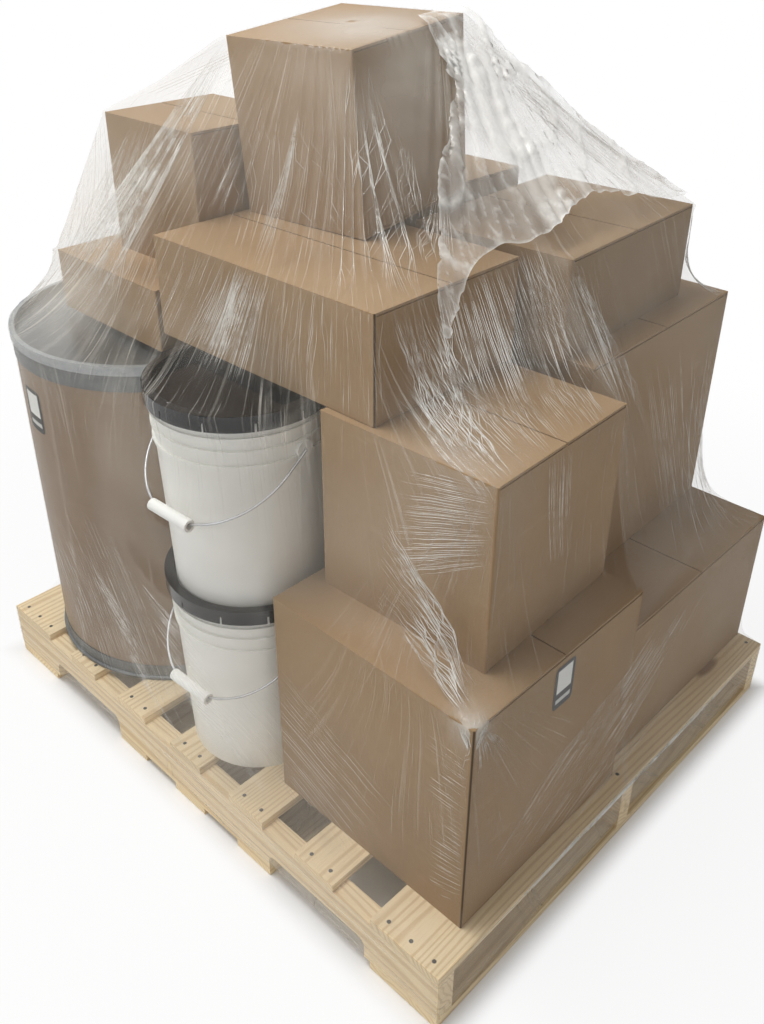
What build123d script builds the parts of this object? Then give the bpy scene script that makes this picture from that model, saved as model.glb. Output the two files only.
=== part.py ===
from build123d import *
import os
from math import atan2, cos, exp, hypot, radians, sin

os.makedirs("parts", exist_ok=True)

# A hand stacked pallet load under stretch film. The origin is on the floor under the middle of
# the pallet. +X runs along the stringers, -Y is the side with the pails and the drum, +Z is up.

inch = 25.4

# Pallet: three notched stringers between a top deck and a bottom deck of thin boards.
pallet_length = 48 * inch
pallet_width = 40 * inch
stringer_width = 1.375 * inch
stringer_height = 3.5 * inch
board_thickness = 0.625 * inch
lead_board_width = 5.5 * inch
inner_board_width = 3.5 * inch
inner_top_boards = 5
notch_length = 9 * inch
notch_height = 1.5 * inch
notch_from_end = 6 * inch
notch_corner = 0.6 * inch

# Deck nails: a flat head on a shank, three across a wide board and two across a narrow one.
nail_head_diameter = 7.0
nail_head_thickness = 1.2
nail_shank_diameter = 3.2
nail_length = 2.25 * inch
nail_edge_wide = 24.0
nail_edge_narrow = 22.0

# Cartons: corrugated board, two layers of flaps top and bottom.
board_wall = 4.0
carton_corner = 2.5
flap_gap = 3.0
crease_gap = 1.2
crease_depth = 7.0
flap_setback = 1.2
rest_gap = 0.2
side_gap = 3.0

# Length in X, width in Y and height of each carton.
near_cube_size = (404.0, 418.0, 408.0)
wide_base_size = (508.0, 504.0, 297.0)
middle_cube_size = (316.0, 316.0, 307.0)
tall_cube_size = (406.0, 458.0, 426.0)
long_flat_size = (484.0, 318.0, 168.0)
right_flat_size = (300.0, 394.0, 166.0)
top_carton_size = (256.0, 274.0, 282.0)
left_flat_size = (304.0, 330.0, 108.0)
left_cube_size = (240.0, 235.0, 238.0)
rear_base_size = (560.0, 455.0, 408.0)
rear_middle_size = (560.0, 455.0, 318.0)
rear_top_size = (305.0, 380.0, 172.0)

# Where each carton stands: the X of its right face, the Y of its front face and its turn in degrees.
near_cube_place = (580.0, -424.0, 0.0)
wide_base_place = (561.0, -1.0, 0.0)
middle_cube_place = (521.0, -329.0, 2.0)
tall_cube_place = (418.0, 37.0, 1.5)
long_flat_place = (301.0, -326.0, 1.0)
right_flat_place = (370.0, 22.0, 3.0)
left_flat_place = (-190.0, -338.0, 0.0)
left_cube_place = (-188.0, -241.0, 1.0)
rear_stack_front = 47.0
rear_top_front = 4.0
top_carton_place = (82.0, -122.0, 5.0)

# Fibre drum: paper board body in steel chimes, steel lid, locking ring with a lever.
drum_place = (-364.0, -229.0)
drum_height = 680.0
drum_radius = 257.0
drum_wall = 5.0
chime_thickness = 1.5
chime_clearance = 0.2
bottom_chime_height = 34.0
bottom_chime_roll = 4.5
top_chime_height = 30.0
lid_thickness = 1.5
lid_recess = 14.0
ring_height = 17.0
ring_thickness = 1.8
ring_reach = 7.0
lever_length = 120.0
lever_height = 13.0
lever_thickness = 4.0
lever_angle = 205.0

# Plastic pails: two, the upper one standing in the lid of the lower one.
pail_place = (27.0, -344.0)
pail_height = 366.0
pail_base_radius = 128.0
pail_top_radius = 139.0
pail_wall = 2.4
pail_rib_reach = 4.0
pail_rib_height = 5.0
pail_rib_drops = (44.0, 66.0, 92.0)
pail_lid_radius = 148.0
pail_lid_wall = 2.2
pail_lid_skirt = 26.0
pail_lid_recess = 16.0
pail_lid_clearance = 1.2
tear_slot_width = 3.5
tear_slot_height = 14.0
tear_slots = 12
ear_radius = 15.0
ear_drop = 80.0
bail_wire = 4.0
bail_half_width = 145.5
bail_straight = 45.0
bail_bend = 2.4
bail_outward = 156.0
bail_angle = -88.0
grip_diameter = 20.0
grip_length = 92.0
grip_clearance = 0.3

# Stretch film: one skin round the whole load and a loose sheet that hangs over its right side.
film_thickness = 1.2
film_gap = 0.4
film_margin = 3.0
film_hem = 106.0
film_corner_fall = (30.0, 110.0)
film_face_fall = (55.0, 300.0)
film_drum_fall = (55.0, 55.0)
film_round_fall = (110.0, 110.0)
film_edge_fall = (0.0, 260.0)
film_rear_fall = (0.0, 300.0)
film_straight = (0.0, 0.0)
film_first_ring = 14.0
film_ring_step = 60.0
film_ring_growth = 1.6
film_front_fold = 0.4
film_right_fold = 0.2
film_side_fold = 0.5
drum_fold_turn = 30.0
drum_step_in = 22.0
sheet_thickness = 1.2
sheet_clearance = 1.4
sheet_drop = 330.0
sheet_tip = 60.0
sheet_overhang = 14.0

deck_top = stringer_height + 2 * board_thickness
half_length = pallet_length / 2
half_width = pallet_width / 2
on_floor = (Align.CENTER, Align.CENTER, Align.MIN)


def save(piece, name):
    piece.part.label = name
    export_step(piece.part, f"parts/{name}.step")


# Pallet

stringer_names = ("stringer_front", "stringer_middle", "stringer_rear")
stringer_lines = [side * (half_width - stringer_width / 2) for side in (-1, 0, 1)]

inner_span = pallet_length - 2 * lead_board_width
top_gap = (inner_span - inner_top_boards * inner_board_width) / (inner_top_boards + 1)
top_pitch = top_gap + inner_board_width
top_boards = [(-half_length + lead_board_width / 2, lead_board_width)]
for count in range(inner_top_boards):
    first = -half_length + lead_board_width + top_gap + inner_board_width / 2
    top_boards.append((first + count * top_pitch, inner_board_width))
top_boards.append((half_length - lead_board_width / 2, lead_board_width))

notch_inner_end = half_length - notch_from_end - notch_length
bottom_side_board = notch_inner_end - inner_board_width / 2
bottom_boards = [
    (-half_length + lead_board_width / 2, lead_board_width),
    (-bottom_side_board, inner_board_width),
    (0.0, inner_board_width),
    (bottom_side_board, inner_board_width),
    (half_length - lead_board_width / 2, lead_board_width),
]


def nail_columns(width):
    if width > inner_board_width:
        return (-width / 2 + nail_edge_wide, 0.0, width / 2 - nail_edge_wide)
    return (-width / 2 + nail_edge_narrow, width / 2 - nail_edge_narrow)


def nail_points(boards):
    return [
        (centre + column, line)
        for centre, width in boards
        for column in nail_columns(width)
        for line in stringer_lines
    ]


def nail_shapes(points, head_face, inward):
    # Each head is sunk flush in its board, and the shank runs on into the stringer.
    head_middle = head_face + inward * nail_head_thickness / 2
    shank_middle = head_face + inward * (nail_head_thickness + nail_length) / 2
    with Locations(*[(x, y, head_middle) for x, y in points]):
        Cylinder(nail_head_diameter / 2, nail_head_thickness)
    with Locations(*[(x, y, shank_middle) for x, y in points]):
        Cylinder(nail_shank_diameter / 2, nail_length - nail_head_thickness)


with BuildPart() as top_nails:
    nail_shapes(nail_points(top_boards), deck_top, -1)
save(top_nails, "deck_nails_top")

with BuildPart() as bottom_nails:
    nail_shapes(nail_points(bottom_boards), 0.0, 1)
save(bottom_nails, "deck_nails_bottom")

for name, line in zip(stringer_names, stringer_lines):
    with BuildPart() as stringer:
        with BuildSketch(Plane.XZ.offset(-line)):
            with Locations((0, board_thickness + stringer_height / 2)):
                Rectangle(pallet_length, stringer_height)
            notch_middle = half_length - notch_from_end - notch_length / 2
            with Locations(*[(side * notch_middle, board_thickness) for side in (-1, 1)]):
                RectangleRounded(notch_length, 2 * notch_height, notch_corner, mode=Mode.SUBTRACT)
        extrude(amount=stringer_width / 2, both=True)
        own_nails = [point for point in nail_points(top_boards) if point[1] == line]
        own_bottom = [point for point in nail_points(bottom_boards) if point[1] == line]
        shank_depth = nail_length - board_thickness
        with Locations(*[(x, y, deck_top - board_thickness - shank_depth / 2) for x, y in own_nails]):
            Cylinder(nail_shank_diameter / 2, shank_depth, mode=Mode.SUBTRACT)
        with Locations(*[(x, y, board_thickness + shank_depth / 2) for x, y in own_bottom]):
            Cylinder(nail_shank_diameter / 2, shank_depth, mode=Mode.SUBTRACT)
    save(stringer, name)


def deck_board(name, centre, width, bottom, head_face, inward):
    with BuildPart() as board:
        with Locations((centre, 0, bottom)):
            Box(width, pallet_width, board_thickness, align=on_floor)
        points = nail_points([(centre, width)])
        head_middle = head_face + inward * nail_head_thickness / 2
        with Locations(*[(x, y, bottom + board_thickness / 2) for x, y in points]):
            Cylinder(nail_shank_diameter / 2, board_thickness, mode=Mode.SUBTRACT)
        with Locations(*[(x, y, head_middle) for x, y in points]):
            Cylinder(nail_head_diameter / 2, nail_head_thickness, mode=Mode.SUBTRACT)
    save(board, name)


for number, (centre, width) in enumerate(top_boards, start=1):
    deck_board(f"top_board_{number}", centre, width, deck_top - board_thickness, deck_top, -1)

for number, (centre, width) in enumerate(bottom_boards, start=1):
    deck_board(f"bottom_board_{number}", centre, width, 0.0, 0.0, 1)


# Cartons

def carton_plane(size, place, base):
    # The plane lies in the carton's bottom, with its origin under the carton's middle.
    right, front, turn = place
    length, width, height = size
    angle = radians(turn)
    middle_x = right - length / 2 * cos(angle) - width / 2 * sin(angle)
    middle_y = front - length / 2 * sin(angle) + width / 2 * cos(angle)
    return Plane(origin=(middle_x, middle_y, base), x_dir=(cos(angle), sin(angle), 0), z_dir=(0, 0, 1))


def carton(name, size, plane):
    # The long flaps hinge on the front and back walls and meet in a seam along the length.
    length, width, height = size
    short_flap = min(width, length - flap_gap) / 2
    inner_length = length - 2 * board_wall
    inner_width = width - 2 * board_wall
    outer_layers = (board_wall / 2, height - board_wall / 2)
    inner_layers = (board_wall * 3 / 2, height - board_wall * 3 / 2)
    creases = (board_wall + crease_gap / 2, height - board_wall - crease_gap / 2)
    crease_middle = (length - crease_depth) / 2
    setback_middle = (length - flap_setback) / 2
    with BuildPart(plane) as box:
        Box(length, width, height, align=on_floor)
        fillet(box.edges().filter_by(Axis(plane.origin, plane.z_dir)), carton_corner)
        with Locations((0, 0, height / 2)):
            Box(inner_length, inner_width, height - 4 * board_wall, mode=Mode.SUBTRACT)
        with Locations(*[(0, 0, level) for level in outer_layers]):
            Box(length, flap_gap, board_wall, mode=Mode.SUBTRACT)
        with Locations(*[(0, 0, level) for level in inner_layers]):
            Box(length - 2 * short_flap, inner_width, board_wall, mode=Mode.SUBTRACT)
        with Locations(*[(end * crease_middle, 0, level) for end in (-1, 1) for level in creases]):
            Box(crease_depth, inner_width, crease_gap, mode=Mode.SUBTRACT)
        with Locations(*[(end * setback_middle, 0, level) for end in (-1, 1) for level in outer_layers]):
            Box(flap_setback, inner_width, board_wall, mode=Mode.SUBTRACT)
    save(box, name)


drum_top = deck_top + drum_height
upper_pail_base = deck_top + pail_height - pail_lid_recess
pail_stack_top = upper_pail_base + pail_height

near_cube_top = deck_top + near_cube_size[2]
wide_base_top = deck_top + wide_base_size[2]
middle_cube_top = near_cube_top + middle_cube_size[2]
tall_cube_top = wide_base_top + tall_cube_size[2]
long_flat_base = max(middle_cube_top, pail_stack_top)
long_flat_top = long_flat_base + long_flat_size[2]
right_flat_top = tall_cube_top + right_flat_size[2]
left_flat_top = drum_top + left_flat_size[2]
left_cube_top = left_flat_top + left_cube_size[2]
rear_base_top = deck_top + rear_base_size[2]
rear_middle_top = rear_base_top + rear_middle_size[2]
rear_top_top = rear_middle_top + rear_top_size[2]

# The rear stack stands beside the wide carton and the tall carton, whichever reaches further left.
tall_turn = radians(tall_cube_place[2])
tall_cube_left = tall_cube_place[0] - tall_cube_size[0] * cos(tall_turn) - tall_cube_size[1] * sin(tall_turn)
wide_base_left = wide_base_place[0] - wide_base_size[0]
rear_stack_right = min(tall_cube_left, wide_base_left) - side_gap
rear_stack_place = (rear_stack_right, rear_stack_front, 0.0)
rear_top_place = (rear_stack_right, rear_top_front, 0.0)

level_cartons = {
    "carton_near_base": (near_cube_size, near_cube_place, deck_top),
    "carton_wide_base": (wide_base_size, wide_base_place, deck_top),
    "carton_near_middle": (middle_cube_size, middle_cube_place, near_cube_top),
    "carton_tall_right": (tall_cube_size, tall_cube_place, wide_base_top),
    "carton_long_flat": (long_flat_size, long_flat_place, long_flat_base),
    "carton_flat_right": (right_flat_size, right_flat_place, tall_cube_top),
    "carton_flat_left": (left_flat_size, left_flat_place, drum_top),
    "carton_cube_left": (left_cube_size, left_cube_place, left_flat_top),
    "carton_rear_base": (rear_base_size, rear_stack_place, deck_top),
    "carton_rear_middle": (rear_middle_size, rear_stack_place, rear_base_top),
    "carton_rear_top": (rear_top_size, rear_top_place, rear_middle_top),
}
for name, (size, place, base) in level_cartons.items():
    carton(name, size, carton_plane(size, place, base))

# The top carton leans: its front left corner stands on the long flat carton, and its underside
# is carried by the front edge of the taller rear carton.
seat_right, seat_front, seat_turn = top_carton_place
turned = radians(seat_turn)
seat_x = seat_right - top_carton_size[0] * cos(turned)
seat_y = seat_front - top_carton_size[0] * sin(turned)
lean = atan2(rear_top_top - long_flat_top, rear_top_front - seat_y)
lean_back = Vector(0, cos(lean), sin(lean))
lean_up = Vector(0, -sin(lean), cos(lean))
top_carton_x = Vector(1, 0, 0) * cos(turned) + lean_back * sin(turned)
top_carton_y = lean_back * cos(turned) - Vector(1, 0, 0) * sin(turned)
top_carton_seat = Vector(seat_x, seat_y, long_flat_top) + lean_up * rest_gap
top_carton_middle = (
    top_carton_seat + top_carton_x * (top_carton_size[0] / 2) + top_carton_y * (top_carton_size[1] / 2)
)
top_carton_plane = Plane(origin=top_carton_middle, x_dir=top_carton_x, z_dir=lean_up)
carton("carton_top", top_carton_size, top_carton_plane)


# Round pieces

def upright_plane(place):
    return Plane(origin=(place[0], place[1], 0), x_dir=(1, 0, 0), z_dir=(0, -1, 0))


def half_section(points, place):
    # A closed outline of (radius, height) points on the upright plane through the axis.
    with BuildSketch(upright_plane(place)) as section:
        with BuildLine():
            Polyline(*points, close=True)
        make_face()
    return section.sketch


def spin(points, place, mode=Mode.ADD):
    revolve(half_section(points, place), axis=Axis((place[0], place[1], 0), (0, 0, 1)), mode=mode)


# Fibre drum

drum_inner = drum_radius - drum_wall
drum_floor = deck_top + chime_thickness + chime_clearance
chime_inner = drum_radius + chime_clearance
chime_outer = chime_inner + chime_thickness
lid_panel = drum_top - lid_recess
body_top = drum_top - ring_thickness - 2 * chime_clearance - lid_thickness

with BuildPart() as drum_body:
    spin(
        [
            (0, drum_floor),
            (drum_radius, drum_floor),
            (drum_radius, body_top),
            (drum_inner, body_top),
            (drum_inner, drum_floor + drum_wall),
            (0, drum_floor + drum_wall),
        ],
        drum_place,
    )
save(drum_body, "drum_body")

with BuildPart() as bottom_chime:
    spin(
        [
            (drum_inner - drum_wall, deck_top),
            (chime_outer, deck_top),
            (chime_outer, deck_top + bottom_chime_roll),
            (chime_outer, deck_top + bottom_chime_height),
            (chime_inner, deck_top + bottom_chime_height),
            (chime_inner, deck_top + chime_thickness),
            (drum_inner - drum_wall, deck_top + chime_thickness),
        ],
        drum_place,
    )
    with BuildSketch(upright_plane(drum_place)) as roll_section:
        with Locations((chime_outer, deck_top + bottom_chime_roll)):
            Circle(bottom_chime_roll)
        with Locations((chime_inner - bottom_chime_roll, deck_top + bottom_chime_roll)):
            Rectangle(2 * bottom_chime_roll, 4 * bottom_chime_roll, mode=Mode.SUBTRACT)
    revolve(roll_section.sketch, axis=Axis((*drum_place, 0), (0, 0, 1)))
save(bottom_chime, "drum_bottom_chime")

ring_bottom = drum_top - ring_height
top_chime_top = ring_bottom - chime_clearance
with BuildPart() as top_chime:
    spin(
        [
            (chime_inner, top_chime_top - top_chime_height),
            (chime_outer, top_chime_top - top_chime_height),
            (chime_outer, top_chime_top),
            (chime_inner, top_chime_top),
        ],
        drum_place,
    )
save(top_chime, "drum_top_chime")

lid_skirt_inner = chime_inner
lid_skirt_outer = lid_skirt_inner + lid_thickness
lid_crown = body_top + chime_clearance + lid_thickness
lid_skirt_bottom = ring_bottom + ring_thickness + chime_clearance
lid_well = drum_inner - chime_clearance
with BuildPart() as drum_lid:
    spin(
        [
            (0, lid_panel - lid_thickness),
            (lid_well, lid_panel - lid_thickness),
            (lid_well, lid_crown - lid_thickness),
            (lid_skirt_inner, lid_crown - lid_thickness),
            (lid_skirt_inner, lid_skirt_bottom),
            (lid_skirt_outer, lid_skirt_bottom),
            (lid_skirt_outer, lid_crown),
            (lid_well - lid_thickness, lid_crown),
            (lid_well - lid_thickness, lid_panel),
            (0, lid_panel),
        ],
        drum_place,
    )
save(drum_lid, "drum_lid")

ring_inner = lid_skirt_outer + chime_clearance
ring_face = ring_inner + ring_thickness
with BuildPart() as locking_ring:
    spin(
        [
            (ring_inner - ring_reach, drum_top - ring_thickness),
            (ring_inner, drum_top - ring_thickness),
            (ring_inner, ring_bottom + ring_thickness),
            (chime_outer, ring_bottom + ring_thickness),
            (chime_outer, ring_bottom),
            (ring_face, ring_bottom),
            (ring_face, drum_top),
            (ring_inner - ring_reach, drum_top),
        ],
        drum_place,
    )
save(locking_ring, "drum_locking_ring")

lever_turn = lever_length / ring_face
with BuildPart() as ring_lever:
    spin(
        [
            (ring_face, drum_top - (ring_height + lever_height) / 2),
            (ring_face + lever_thickness, drum_top - (ring_height + lever_height) / 2),
            (ring_face + lever_thickness, drum_top - (ring_height - lever_height) / 2),
            (ring_face, drum_top - (ring_height - lever_height) / 2),
        ],
        drum_place,
    )
    with BuildSketch(Plane.XY.offset(drum_top - ring_height)) as lever_span:
        with BuildLine():
            reach = 2 * ring_face
            ends = [radians(lever_angle) + side * lever_turn / 2 for side in (-1, 1)]
            Polyline(
                drum_place,
                *[(drum_place[0] + reach * cos(end), drum_place[1] + reach * sin(end)) for end in ends],
                close=True,
            )
        make_face()
    extrude(amount=ring_height, mode=Mode.INTERSECT)
save(ring_lever, "drum_ring_lever")


# Plastic pails

def pail_radius(rise):
    # The wall widens evenly from the base to the top.
    return pail_base_radius + (pail_top_radius - pail_base_radius) * rise / pail_height


lid_wall_inner = pail_lid_radius - pail_lid_wall
plug_radius = pail_top_radius - pail_wall - pail_lid_clearance
bail_direction = radians(bail_angle)
bail_out = Vector(cos(bail_direction), sin(bail_direction), 0)
ear_axis = Vector(-sin(bail_direction), cos(bail_direction), 0)
bail_depth = bail_straight + bail_half_width
bail_swing = (bail_outward / bail_depth, (1 - (bail_outward / bail_depth) ** 2) ** 0.5)
bail_down = bail_out * bail_swing[0] - Vector(0, 0, 1) * bail_swing[1]


def bail_plane(base):
    origin = Vector(pail_place[0], pail_place[1], base + pail_height - ear_drop)
    return Plane(origin=origin, x_dir=ear_axis, z_dir=ear_axis.cross(bail_down))


def pail(prefix, base):
    top = base + pail_height
    rim = top - pail_lid_wall - rest_gap
    rise = rim - base
    outline = [(0, base), (pail_base_radius, base)]
    for drop in sorted(pail_rib_drops, reverse=True):
        low = pail_height - drop
        high = low + pail_rib_height
        outline += [
            (pail_radius(low), base + low),
            (pail_radius(low) + pail_rib_reach, base + low),
            (pail_radius(high) + pail_rib_reach, base + high),
            (pail_radius(high), base + high),
        ]
    outline += [
        (pail_radius(rise), rim),
        (pail_radius(rise) - pail_wall, rim),
        (pail_base_radius - pail_wall, base + pail_wall),
        (0, base + pail_wall),
    ]
    ear_height = base + pail_height - ear_drop
    ear_start = pail_radius(pail_height - ear_drop) - pail_wall / 2
    ear_end = bail_half_width - bail_wire / 2 - grip_clearance
    with BuildPart() as body:
        spin(outline, pail_place)
        for side in (-1, 1):
            ear_plane = Plane(
                origin=Vector(*pail_place, ear_height) + ear_axis * (side * ear_start), z_dir=ear_axis * side
            )
            with BuildSketch(ear_plane):
                Circle(ear_radius)
            extrude(amount=ear_end - ear_start)
            with BuildSketch(ear_plane.offset(pail_wall)):
                Circle(bail_wire / 2 + grip_clearance)
            extrude(amount=ear_end - ear_start, mode=Mode.SUBTRACT)
    save(body, f"{prefix}_body")

    panel = top - pail_lid_recess - pail_lid_wall
    with BuildPart() as lid:
        spin(
            [
                (0, panel),
                (plug_radius, panel),
                (plug_radius, top - pail_lid_wall),
                (lid_wall_inner, top - pail_lid_wall),
                (lid_wall_inner, top - pail_lid_skirt),
                (pail_lid_radius, top - pail_lid_skirt),
                (pail_lid_radius, top),
                (plug_radius - pail_lid_wall, top),
                (plug_radius - pail_lid_wall, panel + pail_lid_wall),
                (0, panel + pail_lid_wall),
            ],
            pail_place,
        )
        slot_base = Plane(origin=(*pail_place, top - pail_lid_skirt))
        with BuildSketch(slot_base):
            with PolarLocations(pail_lid_radius, tear_slots):
                Rectangle(3 * pail_lid_wall, tear_slot_width)
        extrude(amount=tear_slot_height, mode=Mode.SUBTRACT)
    save(lid, f"{prefix}_lid")

    plane = bail_plane(base)
    inner = ear_start + 2 * pail_wall
    half = bail_half_width
    with BuildPart() as bail:
        with BuildLine(plane) as path:
            FilletPolyline((-inner, 0), (-half, 0), (-half, bail_straight), radius=bail_bend)
            ThreePointArc((-half, bail_straight), (0, bail_depth), (half, bail_straight))
            FilletPolyline((half, bail_straight), (half, 0), (inner, 0), radius=bail_bend)
        start = Plane(origin=path.line @ 0, z_dir=path.line % 0)
        with BuildSketch(start):
            Circle(bail_wire / 2)
        sweep(path=path.line)
    save(bail, f"{prefix}_bail")

    sag = bail_half_width - (bail_half_width**2 - (grip_length / 2) ** 2) ** 0.5
    grip_plane = Plane(
        origin=plane.from_local_coords(Vector(-grip_length / 2, bail_depth - sag / 2, 0)), z_dir=ear_axis
    )
    with BuildPart() as grip:
        with BuildSketch(grip_plane):
            Circle(grip_diameter / 2)
            Circle((sag + bail_wire) / 2 + grip_clearance, mode=Mode.SUBTRACT)
        extrude(amount=grip_length)
    save(grip, f"{prefix}_grip")


pail("lower_pail", deck_top)
pail("upper_pail", upper_pail_base)


# Stretch film

def carton_corner_at(size, place, end, side, out_x=0.0, out_y=0.0):
    # end is 1 at the right face and 0 at the left, side is 1 at the back and 0 at the front.
    right, front, turn = place
    angle = radians(turn)
    along = (1 - end) * size[0]
    across = side * size[1]
    x = right - along * cos(angle) - across * sin(angle) + out_x * film_margin
    y = front - along * sin(angle) + across * cos(angle) + out_y * film_margin
    return (x, y)


def top_corner(end, side, out_x=0.0, out_y=0.0):
    # A point round the leaning carton's top, in its own plane, from -1 to 1 each way.
    length, width, height = top_carton_size
    local = Vector(
        end * length / 2 + out_x * film_margin, side * width / 2 + out_y * film_margin, height + film_margin
    )
    return top_carton_plane.from_local_coords(local)


edge = film_gap
drum_reach = chime_outer + bottom_chime_roll + film_margin
drum_left = drum_place[0] - drum_reach
near_cube_left = near_cube_place[0] - near_cube_size[0]
near_cube_back = near_cube_place[1] + near_cube_size[1]
wide_base_back = wide_base_place[1] + wide_base_size[1]
rear_stack_back = rear_stack_front + rear_base_size[1]
grip_reach = bail_outward + grip_diameter / 2
pail_front = pail_place[1] - grip_reach - film_margin
pail_lid_front = pail_place[1] - pail_lid_radius - film_margin
pail_half = grip_length / 2 + film_margin
lower_grip = deck_top + pail_height - ear_drop - bail_depth * bail_swing[1]
upper_grip = lower_grip + upper_pail_base - deck_top

# At the deck the film goes round the boards, or round what stands out past them.
corner_right = max(half_length, near_cube_place[0], wide_base_place[0])
corner_left = min(-half_length, drum_left + drum_step_in)
corner_front = min(-half_width, near_cube_place[1], drum_place[1] - drum_reach)
corner_back = max(half_width, wide_base_back, rear_stack_back)
deck_right = corner_right + edge
deck_left = corner_left - edge
deck_front = corner_front - edge
deck_back = corner_back + edge


def deck_points(x, y):
    return [(film_hem, x, y), (deck_top, x, y)]


def drum_fold(direction):
    # A corner of the film's outline round the drum, which touches it halfway between two corners.
    reach = drum_reach / cos(radians(drum_fold_turn / 2))
    angle = radians(direction)
    return (drum_place[0] + reach * cos(angle), drum_place[1] + reach * sin(angle))


# Each fold line of the film runs from the hem at the deck up to the top carton's top, over the
# edges of the cartons that stand out furthest. It has the way it faces, the points that it goes
# through as height, X and Y, its place on the top carton, and its two falls: how soon the film runs
# in to the wall above a ledge, and up to the top carton, or 0 where it stays straight all the way.
front, right_side, rear, left_side = (0, -1), (1, 0), (0, 1), (-1, 0)
near_cube = (near_cube_size, near_cube_place)
wide_base = (wide_base_size, wide_base_place)
middle_cube = (middle_cube_size, middle_cube_place)
tall_cube = (tall_cube_size, tall_cube_place)
long_flat = (long_flat_size, long_flat_place)
right_flat = (right_flat_size, right_flat_place)
left_flat = (left_flat_size, left_flat_place)
left_cube = (left_cube_size, left_cube_place)
rear_stack = (rear_middle_size, rear_stack_place)
rear_top = (rear_top_size, rear_top_place)
side_middle = near_cube_place[1] + film_side_fold * near_cube_size[1]
rear_middle_line = rear_stack_front + film_side_fold * rear_middle_size[1]

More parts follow.
